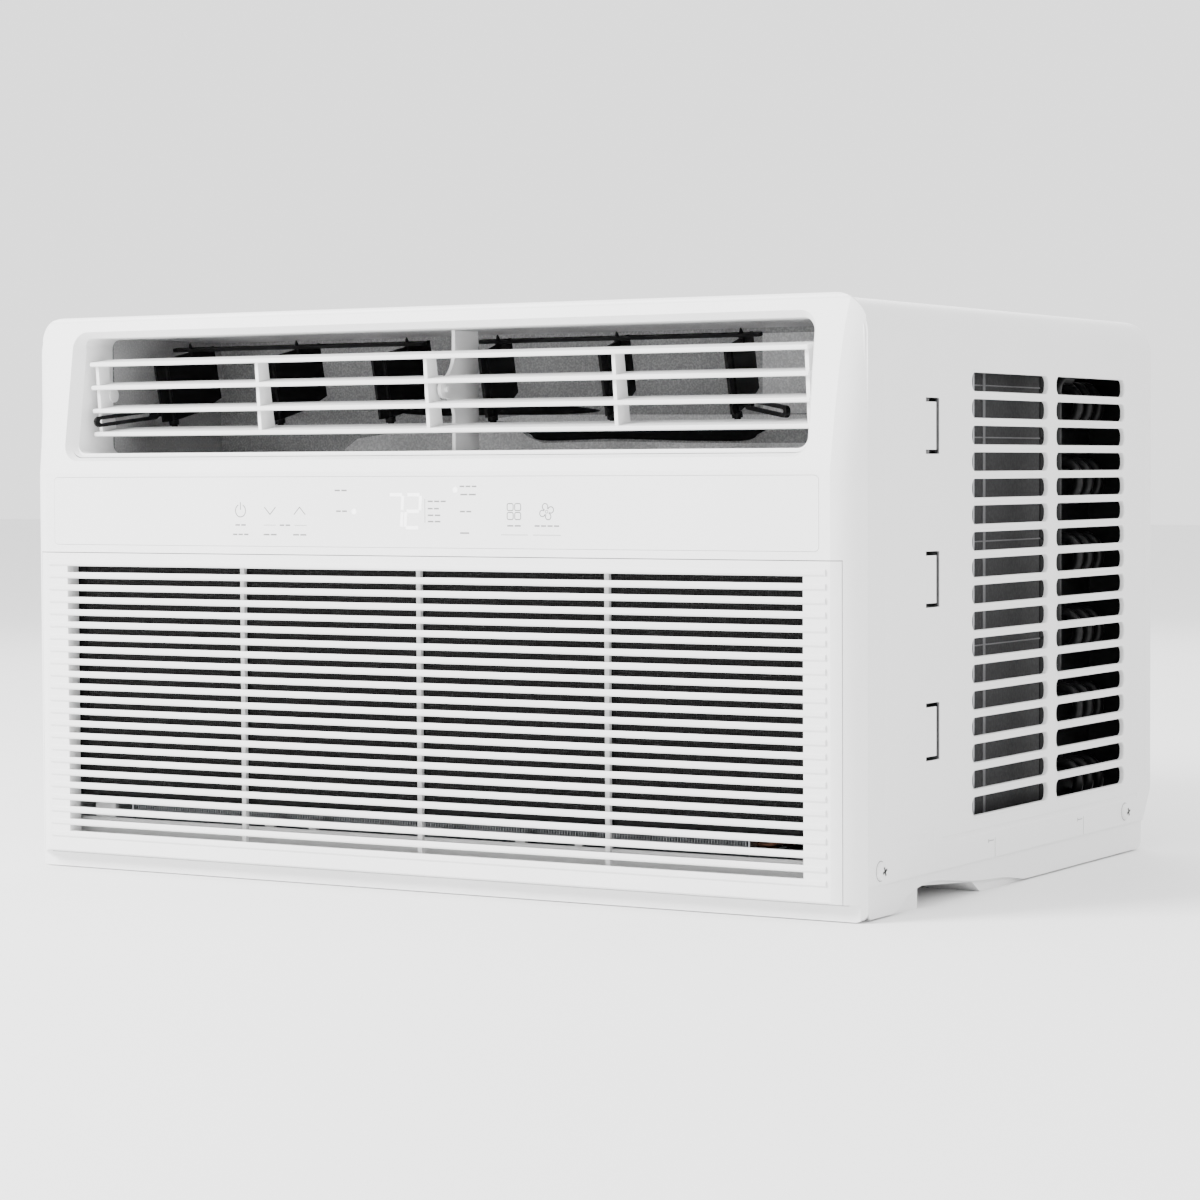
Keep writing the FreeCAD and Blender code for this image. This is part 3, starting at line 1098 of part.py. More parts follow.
# ---------------------------------------------------------------- assembly
def build():
    keep("base_pan", base_pan())
    cabinet()
    keep("cabinet_screws", cabinet_screws())
    keep("front_bezel", front_bezel())
    keep("duct_divider", duct_divider())
    keep("control_overlay", control_overlay())
    keep("display_board", display_board())
    keep("intake_grille", intake_grille())
    keep("filter_frame", filter_frame())
    keep("filter_mesh", filter_mesh())
    outlet_movement()
    keep("vane_rail", vane_rail())
    keep("outlet_duct", outlet_duct())
    keep("blower_scroll", blower_scroll())
    keep("bulkhead", bulkhead())
    keep("drain_pan", drain_pan())
    coils()
    keep("fan_shroud", fan_shroud())
    keep("side_baffles", side_baffle())
    keep("fan_motor", fan_motor())
    keep("motor_bracket", motor_bracket())
    keep("motor_screws", motor_screws())
    keep("blower_wheel", blower_wheel())
    keep("condenser_fan", condenser_fan())
    keep("fan_shaft", fan_shaft())
    keep("shaft_nuts", shaft_nuts())
    keep("compressor_shell", compressor_shell())
    grommets, nuts = compressor_mounts()
    keep("compressor_grommets", grommets)
    keep("compressor_nuts", nuts)
    keep("accumulator", accumulator())
    keep("terminal_cover", terminal_cover())
    keep("discharge_line", discharge_line())
    keep("suction_line", suction_line())
    keep("capillary_tube", capillary_tube())
    keep("control_box", control_box())
    keep("control_box_cover", control_box_cover())
    keep("run_capacitor", run_capacitor())
    keep("thermistor", thermistor())
    keep("cord_inlet", cord_inlet())


build()
os.makedirs("parts", exist_ok=True)
for name, shape in PARTS.items():
    shape.exportStep("parts/%s.step" % name)
    print("%-24s solids %2d valid %s volume %.0f" % (name, len(shape.Solids), shape.isValid(), shape.Volume))
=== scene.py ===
import json
import math
import bpy
from mathutils import Matrix, Vector


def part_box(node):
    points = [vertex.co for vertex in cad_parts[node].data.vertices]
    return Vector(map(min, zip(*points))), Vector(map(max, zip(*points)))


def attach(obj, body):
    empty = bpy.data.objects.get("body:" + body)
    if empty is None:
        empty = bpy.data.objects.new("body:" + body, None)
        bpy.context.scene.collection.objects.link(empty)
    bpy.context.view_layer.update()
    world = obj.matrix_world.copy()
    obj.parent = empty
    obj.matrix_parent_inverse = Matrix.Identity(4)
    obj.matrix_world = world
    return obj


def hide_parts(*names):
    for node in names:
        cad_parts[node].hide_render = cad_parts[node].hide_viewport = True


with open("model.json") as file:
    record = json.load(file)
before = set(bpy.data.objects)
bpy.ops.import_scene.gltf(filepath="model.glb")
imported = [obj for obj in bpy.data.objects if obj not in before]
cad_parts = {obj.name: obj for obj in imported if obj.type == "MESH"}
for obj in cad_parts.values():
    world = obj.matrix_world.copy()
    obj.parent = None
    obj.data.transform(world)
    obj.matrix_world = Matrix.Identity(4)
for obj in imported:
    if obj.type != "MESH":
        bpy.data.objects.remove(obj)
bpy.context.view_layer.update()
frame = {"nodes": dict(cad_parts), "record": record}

NODES = frame["nodes"]

# camera, lamps and floor, in metres, degrees and watts
CAMERA_PLACE = (1.1321, -1.9067, 0.2583)
CAMERA_TURN = 30.683
CAMERA_DIP = 2.252
CAMERA_ROLL = -0.26
CAMERA_LENS = 100.27
SENSOR_WIDTH = 36.0
SKY_STRENGTH = 2.0
FLOOR_HALF = 12.0
LAMPS = (("key_lamp", (-1.5, -2.3, 1.9), (0.0, -0.1, 0.2), (1.2, 1.0), 260.0),
         ("side_lamp", (2.5, -0.2, 1.7), (0.2, 0.0, 0.2), (1.1, 1.1), 10.0),
         ("top_lamp", (0.1, 0.5, 2.5), (0.0, 0.0, 0.3), (1.8, 1.8), 30.0),
         ("rear_lamp", (-1.2, 2.4, 1.6), (0.0, 0.2, 0.2), (1.6, 1.2), 30.0))

# moulded and painted finishes: colour, roughness, grain in cells per metre, its height, mottling, specular
MOULDED = {
    "front_white": ((0.84, 0.84, 0.84), 0.42),
    "cabinet_paint": ((0.78, 0.78, 0.78), 0.45, 700.0, 0.00004),
    "overlay_film": ((0.84, 0.84, 0.84), 0.32, 2500.0, 0.000005),
    "circuit_board": ((0.03, 0.16, 0.07), 0.35, 900.0),
    "vane_black": ((0.002, 0.002, 0.0022), 0.6, 1800.0, 0.00002, 0.2, 0.12),
    "rail_grey": ((0.60, 0.60, 0.605), 0.5),
    "coil_black": ((0.006, 0.006, 0.0065), 0.4, 700.0, 0.00003, 0.2, 0.3),
    "filter_plastic": ((0.006, 0.006, 0.0065), 0.55, 1500.0, 0.00002, 0.02, 0.2),
    # the baffle plates are darker here than their own grey, close to black: painted shade behind the vents
    "baffle_grey": ((0.009, 0.009, 0.010), 0.6, 500.0, 0.0001, 0.1, 0.25),
    "pan_white": ((0.86, 0.86, 0.86), 0.6, 400.0, 0.0001),
    "compressor_black": ((0.012, 0.012, 0.013), 0.3, 600.0, 0.00005, 0.15),
    "cover_black": ((0.014, 0.014, 0.014), 0.5),
    "rubber_black": ((0.016, 0.016, 0.016), 0.75),
    "wheel_grey": ((0.06, 0.06, 0.065), 0.5),
    "fan_black": ((0.02, 0.02, 0.021), 0.45),
    "thermistor_white": ((0.6, 0.6, 0.58), 0.5),
}
# brushed metals: colour, roughness, stretch of the drawn lines
BRUSHED = {
    "fin_aluminium": ((0.62, 0.63, 0.65), 0.38, (1.0, 1.0, 0.1)),
    "copper": ((0.17, 0.08, 0.052), 0.42, (1.0, 1.0, 1.0)),
    "plated_steel": ((0.46, 0.47, 0.49), 0.42, (0.3, 1.0, 1.0)),
    "motor_steel": ((0.40, 0.41, 0.43), 0.4, (1.0, 0.2, 1.0)),
    "shaft_steel": ((0.56, 0.56, 0.58), 0.25, (1.0, 0.1, 1.0)),
    "can_aluminium": ((0.66, 0.67, 0.69), 0.3, (1.0, 1.0, 0.2)),
}
# foams: dark and light of the specks; the second and third are the duct foam again in lighter colours,
# painted light on the side walls and, lighter still, on the roof and floor
FOAMS = {
    "duct_foam": ((0.30, 0.30, 0.305), (0.50, 0.50, 0.505)),
    "duct_wall": ((0.40, 0.40, 0.405), (0.52, 0.52, 0.525)),
    "duct_light": ((0.62, 0.62, 0.625), (0.88, 0.88, 0.885)),
}
# plain finishes: colour, roughness
PLAIN = {
    # grey of bare cut edges and small flange marks, and painted shade round the screw heads
    "bare_edge": ((0.20, 0.20, 0.205), 0.5),
    # pale grey of the painted highlight strips on the baffle plates
    "rib_grey": ((0.07, 0.07, 0.074), 0.5),
    "shadow_grey": ((0.045, 0.045, 0.045), 0.7),
    "mark_grey": ((0.055, 0.055, 0.057), 0.5),
    "mark_pale": ((0.17, 0.17, 0.172), 0.5),
}

# everything below is in millimetres in the object's own frame
MM = 0.001
HALF_W = 300.0

# side vents: the lip's profile is its distance out from the slot's edge and its height off the sheet
VENT_ROWS = 17
VENT_PITCH = 16.0
VENT_HEIGHT = 11.5
VENT_TOP_Z = 315.2
VENT_END_R = 4.8
VENT_COLUMNS = ((-66.5, 49.5), (62.0, 177.0))
LIP_PROFILE = ((-0.1, -2.7), (-0.15, -0.5), (0.0, 0.1), (0.35, 0.42), (0.8, 0.5), (1.3, 0.3), (1.8, 0.02))

# side walls: tabs, flange marks and screws
SHEET = 1.2
TAB_SPANS = ((266.0, 299.0), (176.0, 209.0), (86.0, 120.0))
TAB_BACK_Y = -112.5
FLANGE_SLITS = (-32.0, 108.0)
FLANGE_MARK_Z = 30.3
SCREW_PLACES = ((-192.0, 28.0), (179.0, 28.5))
SCREW_R = 5.5
SCREW_HEIGHT = 2.9
SCREW_SEGMENTS = 72
SCREW_RINGS = (0.0, 0.35, 0.66, 0.74, 1.2, 1.7, 2.2, 2.66, 2.74, 3.3, 3.9, 4.5, 5.0, 5.35, SCREW_R)
RECESS_ARM = 2.7
RECESS_HALF_W = 0.7
RECESS_TURN = 22.0

# fins of the two coils: piece, node it replaces, pitch, folds
FIN_PACKS = (("condenser_fin_pack", "condenser_fins", 2.2, 6),
             ("evaporator_fin_pack", "evaporator_fins", 1.9, 4))
FIN_THICKNESS = 0.25
FIN_WAVE = 0.45

# sound-deadening plates behind the front column of vents, with flat strips on them: pale ones as painted
# highlight for an upright stiffener and folds, and a black one as painted shade at the rear edge
BAFFLE_X = 282.4
BAFFLE_Z = (40.0, 332.0)
BAFFLE_HIGHLIGHT_Y = (-12.0, -8.0)
BAFFLE_FOLD_HIGHLIGHT_Y = (-46.0, 82.0)
BAFFLE_FOLD_HIGHLIGHTS_Z = (308.0, 276.0, 212.0, 148.0)
BAFFLE_EDGE_SHADE_Y = (77.0, 88.0)

# back wall of the outlet duct: outlines in its XZ plane of the black shapes painted as shade where the
# blower's mouth opens, and of the pale shelf and tongue in front of it, painted light
DUCT_BACK_Y = -61.4
MOUTH_UPPER = ((-120.0, 297.0), (-90.0, 301.5), (-40.0, 301.0), (0.0, 300.2), (20.0, 298.3), (38.0, 295.2),
               (10.0, 293.4), (-40.0, 293.6), (-90.0, 293.8))
MOUTH_HOLLOW = ((-19.0, 286.5), (-14.0, 280.5), (-3.0, 276.6), (48.0, 277.2), (105.0, 275.6), (142.0, 275.4),
                (152.0, 279.0), (153.5, 285.5), (70.0, 286.8))
MOUTH_SHELF = ((-48.0, 290.3), (-20.0, 293.2), (60.0, 292.6), (180.0, 291.2), (258.0, 290.2),
               (258.0, 285.6), (180.0, 286.2), (60.0, 287.2), (-20.0, 288.4))
MOUTH_TONGUE = ((-160.0, 272.2), (-150.0, 279.0), (-110.0, 284.0), (-60.0, 285.2), (-24.0, 284.6),
                (-16.0, 279.0), (-4.0, 275.0), (48.0, 275.6), (105.0, 274.2), (150.0, 273.9), (258.0, 273.0),
                (258.0, 270.8), (-160.0, 270.8))

# control strip: marks are drawn in its XZ plane
STRIP_FRONT_Y = -223.9
MARK_PROUD = 0.04
STROKE = 0.5
HAIRLINE = 0.25
TOUCH_Z = 233.0
POWER_X = -127.4
ARROWS_X = (-104.7, -82.1)
MODE_X = 74.4
FAN_X = 97.2
DASH_W = 0.9
DASH_GAP = 1.0
DASH_PITCH = 4.0
RULES = ((-109.6, -100.2, 224.1), (-86.0, -76.6, 224.1), (65.2, 84.0, 219.1), (87.6, 107.0, 219.1))
# each row of dashes: middle, length, height
DASH_ROWS = ((-127.4, 8.0, 224.1), (-93.3, 8.0, 224.1), (-127.4, 12.0, 218.2), (-104.7, 10.0, 218.2),
             (-82.1, 10.0, 218.2), (-51.0, 9.0, 245.6), (-50.5, 8.0, 232.9), (42.0, 12.0, 248.0),
             (42.0, 11.0, 243.1), (40.2, 8.0, 232.9), (39.4, 6.5, 220.0), (74.4, 9.5, 224.5),
             (97.3, 17.0, 224.5), (19.5, 13.0, 239.0), (17.0, 8.0, 234.6), (17.5, 9.0, 230.6),
             (17.5, 9.0, 226.8))

# seven-segment digits and round lamps
DIGITS = ((-15.9, "abc"), (-3.0, "abged"))
DIGIT_W = 10.2
DIGIT_Z = (223.0, 233.0, 243.0)
SEGMENT_W = 2.0
SEGMENT_GAP = 0.7
SLANT = 0.06
LAMP_PLACES = ((-41.2, 232.7), (32.8, 245.9))
LAMP_R = 1.7


# ---------------------------------------------------------------- camera, light and floor
def add_camera():
    """Seen from the front right, a little above the middle of the front."""
    data = bpy.data.cameras.new("camera")
    data.sensor_width = SENSOR_WIDTH
    data.lens = CAMERA_LENS
    data.clip_end = 50.0
    camera = bpy.data.objects.new("camera", data)
    turn = Matrix.Rotation(math.radians(CAMERA_TURN), 4, "Z")
    tilt = Matrix.Rotation(math.radians(90.0 - CAMERA_DIP), 4, "X")
    roll = Matrix.Rotation(math.radians(CAMERA_ROLL), 4, "Z")
    camera.matrix_world = Matrix.Translation(CAMERA_PLACE) @ turn @ tilt @ roll
    bpy.context.scene.collection.objects.link(camera)
    bpy.context.scene.camera = camera


def add_area(name, place, target, size, power):
    """Soft rectangular lamp aimed at a point."""
    data = bpy.data.lights.new(name, "AREA")
    data.shape = "RECTANGLE"
    data.size = size[0]
    data.size_y = size[1]
    data.energy = power
    lamp = bpy.data.objects.new(name, data)
    aim = Vector(target) - Vector(place)
    lamp.matrix_world = Matrix.Translation(place) @ aim.to_track_quat("-Z", "Y").to_matrix().to_4x4()
    bpy.context.scene.collection.objects.link(lamp)


def add_surroundings():
    """White sky, four lamps and a plain pale floor."""
    world = bpy.data.worlds.new("studio")
    world.use_nodes = True
    background = world.node_tree.nodes["Background"]
    background.inputs["Color"].default_value = (1.0, 1.0, 1.0, 1.0)
    background.inputs["Strength"].default_value = SKY_STRENGTH
    bpy.context.scene.world = world
    for lamp in LAMPS:
        add_area(*lamp)
    mesh = bpy.data.meshes.new("floor")
    corners = [(x * FLOOR_HALF, y * FLOOR_HALF, 0) for x, y in ((-1, -1), (1, -1), (1, 1), (-1, 1))]
    mesh.from_pydata(corners, [], [(0, 1, 2, 3)])
    floor = bpy.data.objects.new("floor", mesh)
    bpy.context.scene.collection.objects.link(floor)
    floor.data.materials.append(plain_material("floor_paper", (0.86, 0.86, 0.86), 0.9))


# ---------------------------------------------------------------- materials
def new_material(name):
    material = bpy.data.materials.new(name)
    material.use_nodes = True
    return material, material.node_tree, material.node_tree.nodes["Principled BSDF"]


def plain_material(name, colour, roughness):
    material, _, shader = new_material(name)
    shader.inputs["Base Color"].default_value = (*colour, 1.0)
    shader.inputs["Roughness"].default_value = roughness
    return material


def glowing(name, colour, strength):
    """Plain material that gives off its own colour."""
    material = plain_material(name, colour, 0.6)
    shader = material.node_tree.nodes["Principled BSDF"]
    shader.inputs["Emission Color"].default_value = (*colour, 1.0)
    shader.inputs["Emission Strength"].default_value = strength
    return material


def noise(tree, scale, detail, stretch=(1.0, 1.0, 1.0)):
    """Noise in object space, in cells per metre."""
    place = tree.nodes.new("ShaderNodeTexCoord")
    mapping = tree.nodes.new("ShaderNodeMapping")
    mapping.inputs["Scale"].default_value = stretch
    texture = tree.nodes.new("ShaderNodeTexNoise")
    texture.inputs["Scale"].default_value = scale
    texture.inputs["Detail"].default_value = detail
    tree.links.new(place.outputs["Object"], mapping.inputs["Vector"])
    tree.links.new(mapping.outputs["Vector"], texture.inputs["Vector"])
    return texture.outputs["Fac"]


def ranged(tree, value, low, high, start=0.3, end=0.7):
    """Map the span start to end of a value onto low to high."""
    node = tree.nodes.new("ShaderNodeMapRange")
    node.inputs["From Min"].default_value = start
    node.inputs["From Max"].default_value = end
    node.inputs["To Min"].default_value = low
    node.inputs["To Max"].default_value = high
    tree.links.new(value, node.inputs["Value"])
    return node.outputs["Result"]


def tinted(tree, value, dark, light):
    """Mix two colours by a value."""
    node = tree.nodes.new("ShaderNodeMix")
    node.data_type = "RGBA"
    node.inputs["A"].default_value = (*dark, 1.0)
    node.inputs["B"].default_value = (*light, 1.0)
    tree.links.new(value, node.inputs["Factor"])
    return node.outputs["Result"]


def bump(tree, shader, value, distance):
    """Raise the surface by a value, at most by the distance in metres."""
    node = tree.nodes.new("ShaderNodeBump")
    node.inputs["Distance"].default_value = distance
    node.inputs["Strength"].default_value = 1.0
    tree.links.new(value, node.inputs["Height"])
    tree.links.new(node.outputs["Normal"], shader.inputs["Normal"])


def moulded(name, colour, roughness, grain_scale=1500.0, grain=0.00002, variation=0.02, specular=0.5):
    """Moulded plastic or painted metal: faint mottling, a fine surface grain and uneven gloss."""
    material, tree, shader = new_material(name)
    dark = tuple(max(c * (1.0 - variation), 0.0) for c in colour)
    light = tuple(min(c * (1.0 + variation), 1.0) for c in colour)
    broad = ranged(tree, noise(tree, 9.0, 4.0), 0.0, 1.0)
    tree.links.new(tinted(tree, broad, dark, light), shader.inputs["Base Color"])
    fine = noise(tree, grain_scale, 2.0)
    tree.links.new(ranged(tree, fine, roughness - 0.05, roughness + 0.05), shader.inputs["Roughness"])
    shader.inputs["Specular IOR Level"].default_value = specular
    bump(tree, shader, fine, grain)
    return material


def brushed(name, colour, roughness, stretch):
    """Rolled metal with fine drawn lines."""
    material, tree, shader = new_material(name)
    lines = noise(tree, 60.0, 5.0, stretch)
    dark = tuple(c * 0.8 for c in colour)
    tree.links.new(tinted(tree, ranged(tree, lines, 0.0, 1.0), dark, colour), shader.inputs["Base Color"])
    tree.links.new(ranged(tree, lines, roughness - 0.08, roughness + 0.1), shader.inputs["Roughness"])
    shader.inputs["Metallic"].default_value = 1.0
    bump(tree, shader, lines, 0.00003)
    return material


def foam(name, dark, light):
    """Speckled closed-cell foam."""
    material, tree, shader = new_material(name)
    specks = noise(tree, 800.0, 4.0)
    mixed = tinted(tree, ranged(tree, specks, 0.0, 1.0, 0.42, 0.7), dark, light)
    tree.links.new(mixed, shader.inputs["Base Color"])
    shader.inputs["Roughness"].default_value = 0.85
    bump(tree, shader, specks, 0.0005)
    return material


def netting(name, dark, light):
    """Fine woven net: crossed waves drive the colour and the height."""
    material, tree, shader = new_material(name)
    place = tree.nodes.new("ShaderNodeTexCoord")
    highest = tree.nodes.new("ShaderNodeMath")
    highest.operation = "MAXIMUM"
    for index, turn in enumerate((0.0, 90.0)):
        mapping = tree.nodes.new("ShaderNodeMapping")
        mapping.inputs["Rotation"].default_value = (0.0, math.radians(turn), 0.0)
        wave = tree.nodes.new("ShaderNodeTexWave")
        wave.inputs["Scale"].default_value = 180.0
        tree.links.new(place.outputs["Object"], mapping.inputs["Vector"])
        tree.links.new(mapping.outputs["Vector"], wave.inputs["Vector"])
        tree.links.new(wave.outputs["Fac"], highest.inputs[index])
    weave = highest.outputs["Value"]
    mixed = tinted(tree, ranged(tree, weave, 0.0, 1.0, 0.5, 0.95), dark, light)
    tree.links.new(mixed, shader.inputs["Base Color"])
    shader.inputs["Roughness"].default_value = 0.8
    bump(tree, shader, weave, 0.0003)
    return material


def build_materials():
    """Every finish, by name: those of the record's slots and a few for the added pieces."""
    finishes = {}
    for make, table in ((moulded, MOULDED), (brushed, BRUSHED), (foam, FOAMS), (plain_material, PLAIN)):
        for name, values in table.items():
            finishes[name] = make(name, *values)
    finishes["filter_net"] = netting("filter_net", (0.0015, 0.0015, 0.0015), (0.012, 0.012, 0.012))
    finishes["display_white"] = glowing("display_white", (1.0, 1.0, 1.0), 1.15)
    return finishes


def dress_nodes():
    """Give each CAD node the material of its slot; the two large pipes take the coil's black in place of
    their slot's finish, as painted shade behind the vents.
    """
    for entry in frame["record"]["subparts"]:
        node = NODES[entry["node"]]
        # the two large pipes in black: painted shade behind the vents
        painted = entry["node"] in ("discharge_line", "suction_line")
        material = MATERIALS["coil_black" if painted else entry["material_slot"]]
        if not node.data.materials:
            node.data.materials.append(material)
        for index in range(len(node.data.materials)):
            node.data.materials[index] = material


def dress_duct():
    """Speckled foam on the back wall, and the same foam in lighter colours as painted light: lighter on the
    side walls, lightest on the roof and floor.
    """
    duct = NODES["outlet_duct"]
    half_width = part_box("outlet_duct")[1].x
    duct.data.materials.clear()
    for name in ("duct_foam", "duct_wall", "duct_light"):
        duct.data.materials.append(MATERIALS[name])
    for face in duct.data.polygons:
        side_on = abs(face.normal.x) > 0.8 and abs(face.center.x) > 0.9 * half_width
        level = abs(face.normal.z) > 0.8
        face.material_index = 2 if level else 1 if side_on else 0


# ---------------------------------------------------------------- mesh helpers
class Shape:
    """Collects vertices and faces for one mesh."""

    def __init__(self):
        self.vertices = []
        self.faces = []

    def box(self, x, y, z):
        first = len(self.vertices)
        self.vertices += [(a, b, c) for a in x for b in y for c in z]
        for face in ((0, 1, 3, 2), (4, 6, 7, 5), (0, 4, 5, 1), (2, 3, 7, 6), (0, 2, 6, 4), (1, 5, 7, 3)):
            self.faces.append([first + i for i in face])

    def prism(self, outline, offset):
        """Closed prism over a flat outline."""
        first = len(self.vertices)
        count = len(outline)
        self.vertices += [tuple(p) for p in outline]
        self.vertices += [tuple(a + b for a, b in zip(p, offset)) for p in outline]
        self.faces.append([first + i for i in range(count)][::-1])
        self.faces.append([first + count + i for i in range(count)])
        for i in range(count):
            j = (i + 1) % count
            self.faces.append([first + i, first + j, first + count + j, first + count + i])

    def loft(self, rings, close_ends=False):
        """Skin over closed rings with equal counts of points."""
        first = len(self.vertices)
        count = len(rings[0])
        for ring in rings:
            self.vertices += [tuple(p) for p in ring]
        for r in range(len(rings) - 1):
            for i in range(count):
                j = (i + 1) % count
                a = first + r * count
                b = a + count
                self.faces.append([a + i, a + j, b + j, b + i])
        if close_ends:
            last = first + (len(rings) - 1) * count
            self.faces.append([first + i for i in range(count)][::-1])
            self.faces.append([last + i for i in range(count)])


def add_piece(name, shape, slot, material=None, smooth_angle=None):
    """Mesh of a shape, carried by the chassis, in the finish of its slot or in another material."""
    mesh = bpy.data.meshes.new(name)
    mesh.from_pydata([tuple(c * MM for c in v) for v in shape.vertices], [], shape.faces)
    mesh.materials.append(MATERIALS[material or slot])
    if smooth_angle is not None:
        mesh.shade_smooth()
        mesh.set_sharp_from_angle(angle=math.radians(smooth_angle))
    piece = bpy.data.objects.new(name, mesh)
    bpy.context.scene.collection.objects.link(piece)
    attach(piece, "chassis")
    return piece


def ring_points(centre, radius, steps):
    """Points round a circle in a plane of two coordinates."""
    return [(centre[0] + radius * math.cos(2 * math.pi * k / steps),
             centre[1] + radius * math.sin(2 * math.pi * k / steps)) for k in range(steps)]


def slot_outline(y, z, radius, arc_steps=7):
    """Points and outward directions round a rounded rectangle in the YZ plane."""
    points = []
    corners = ((y[1] - radius, z[1] - radius, 0), (y[0] + radius, z[1] - radius, 90),
               (y[0] + radius, z[0] + radius, 180), (y[1] - radius, z[0] + radius, 270))
    for centre_y, centre_z, start in corners:
        for k in range(arc_steps + 1):
            angle = math.radians(start + 90.0 * k / arc_steps)
            direction = (math.cos(angle), math.sin(angle))
            points.append(((centre_y + radius * direction[0], centre_z + radius * direction[1]), direction))
    return points


def smooth_outline(points, steps=8):
    """Closed curve through the given points (Catmull-Rom)."""
    outline = []
    count = len(points)
    for i in range(count):
        a, b, c, d = (Vector(points[(i + k) % count]) for k in (-1, 0, 1, 2))
        for k in range(steps):
            t = k / steps
            outline.append(0.5 * (2 * b + (c - a) * t + (2 * a - 5 * b + 4 * c - d) * t ** 2
                                  + (3 * b - a - 3 * c + d) * t ** 3))
    return outline


# ---------------------------------------------------------------- cabinet and coils
def vent_lips():
    """Rolled lip round every vent slot."""
    for side, word in ((-1, "left"), (1, "right")):
        shape = Shape()
        for row in range(VENT_ROWS):
            top = VENT_TOP_Z - VENT_PITCH * row
            for column in VENT_COLUMNS:
                outline = slot_outline(column, (top - VENT_HEIGHT, top), VENT_END_R)
                rings = []
                for out, high in LIP_PROFILE:
                    rings.append([(side * (HALF_W + high), py + out * dy, pz + out * dz)
                                  for (py, pz), (dy, dz) in outline])
                shape.loft(rings if side < 0 else rings[::-1])
        add_piece("vent_lips_" + word, shape, "cabinet_paint", smooth_angle=50)


def fin_packs():
    """Thin folded fins in place of the plain block of each coil."""
    for name, replaced, pitch, folds in FIN_PACKS:
        low, high = (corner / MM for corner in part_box(replaced))
        shape = Shape()
        steps = folds * 2
        for i in range(int((high.x - low.x) / pitch) + 1):
            start = low.x + pitch * i
            front = []
            for k in range(steps + 1):
                shift = FIN_WAVE if k % 2 else -FIN_WAVE
                front.append((start + shift, low.y + (high.y - low.y) * k / steps))
            outline = front + [(px + FIN_THICKNESS, py) for px, py in reversed(front)]
            shape.loft([[(px, py, z) for px, py in outline] for z in (low.z, high.z)], close_ends=True)
        piece = add_piece(name, shape, "fin_aluminium")
        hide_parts(replaced)


def screw_heads():
    """Four truss heads in one mesh, flat dark crosses as painted shade in their recess in a second, and thin
    grey rings round them as painted shadow on the wall in a third.
    """
    heads = Shape()
    recess_shades = Shape()
    shadow_rings = Shape()
    turn = math.radians(RECESS_TURN)
    for side in (-1, 1):
        for y, z in SCREW_PLACES:
            rings = []
            for r in SCREW_RINGS:
                dome = math.sqrt(max(1.0 - (r / (SCREW_R + 0.05)) ** 2.4, 0.0))
                x = side * (HALF_W + SCREW_HEIGHT * dome)
                rings.append([(x, py, pz) for py, pz in ring_points((y, z), r, SCREW_SEGMENTS)])
            foot = [(side * (HALF_W - 0.6), py, pz) for _, py, pz in rings[-1]]
            heads.loft(rings + [foot])
            top = side * (HALF_W + SCREW_HEIGHT + 0.02)
            for quarter in (0, 90):
                angle = turn + math.radians(quarter)
                ux, uz = math.cos(angle), math.sin(angle)
                corners = ((-RECESS_ARM, -RECESS_HALF_W), (RECESS_ARM, -RECESS_HALF_W),
                           (RECESS_ARM, RECESS_HALF_W), (-RECESS_ARM, RECESS_HALF_W))
                outline = [(top, y + a * ux - b * uz, z + a * uz + b * ux) for a, b in corners]
                recess_shades.prism(outline, (side * 0.1, 0, 0))
            # thin grey ring round each head: painted shadow where the head meets the wall
            shadow_ring = ring_points((y, z), SCREW_R + 0.45, SCREW_SEGMENTS)
            shadow_rings.prism([(side * (HALF_W + 0.03), py, pz) for py, pz in shadow_ring], (side * 0.05, 0, 0))
    piece = add_piece("cabinet_screw_heads", heads, "cabinet_paint", smooth_angle=60)
    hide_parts("cabinet_screws")
    add_piece("cabinet_screw_recess_shade", recess_shades, "cabinet_paint", "shadow_grey")
    add_piece("cabinet_screw_shadow_rings", shadow_rings, "cabinet_paint", "bare_edge")


def cut_edges():
    """Grey strip on the cut edge of the sheet behind each tab: the bare steel of the edge together with
    painted shade.
    """
    edges = Shape()
    for side in (-1, 1):
        x = sorted((side * (HALF_W - SHEET), side * (HALF_W - 0.02)))
        for low, high in TAB_SPANS:
            edges.box(x, (TAB_BACK_Y - 0.08, TAB_BACK_Y - 0.01), (low + 0.4, high - 0.4))
    add_piece("cut_edges", edges, "cabinet_paint", "bare_edge")


def flange_ticks():
    """Short punched marks beside the slits in the lower flange."""
    ticks = Shape()
    for side in (-1, 1):
        x = sorted((side * (HALF_W + 0.01), side * (HALF_W + 0.06)))
        for y in FLANGE_SLITS:
            ticks.box(x, (y - 10.0, y - 2.0), (FLANGE_MARK_Z, FLANGE_MARK_Z + 0.45))
            ticks.box(x, (y - 10.0, y - 9.3), (FLANGE_MARK_Z - 0.9, FLANGE_MARK_Z + 1.3))
    add_piece("flange_ticks", ticks, "cabinet_paint", "bare_edge")


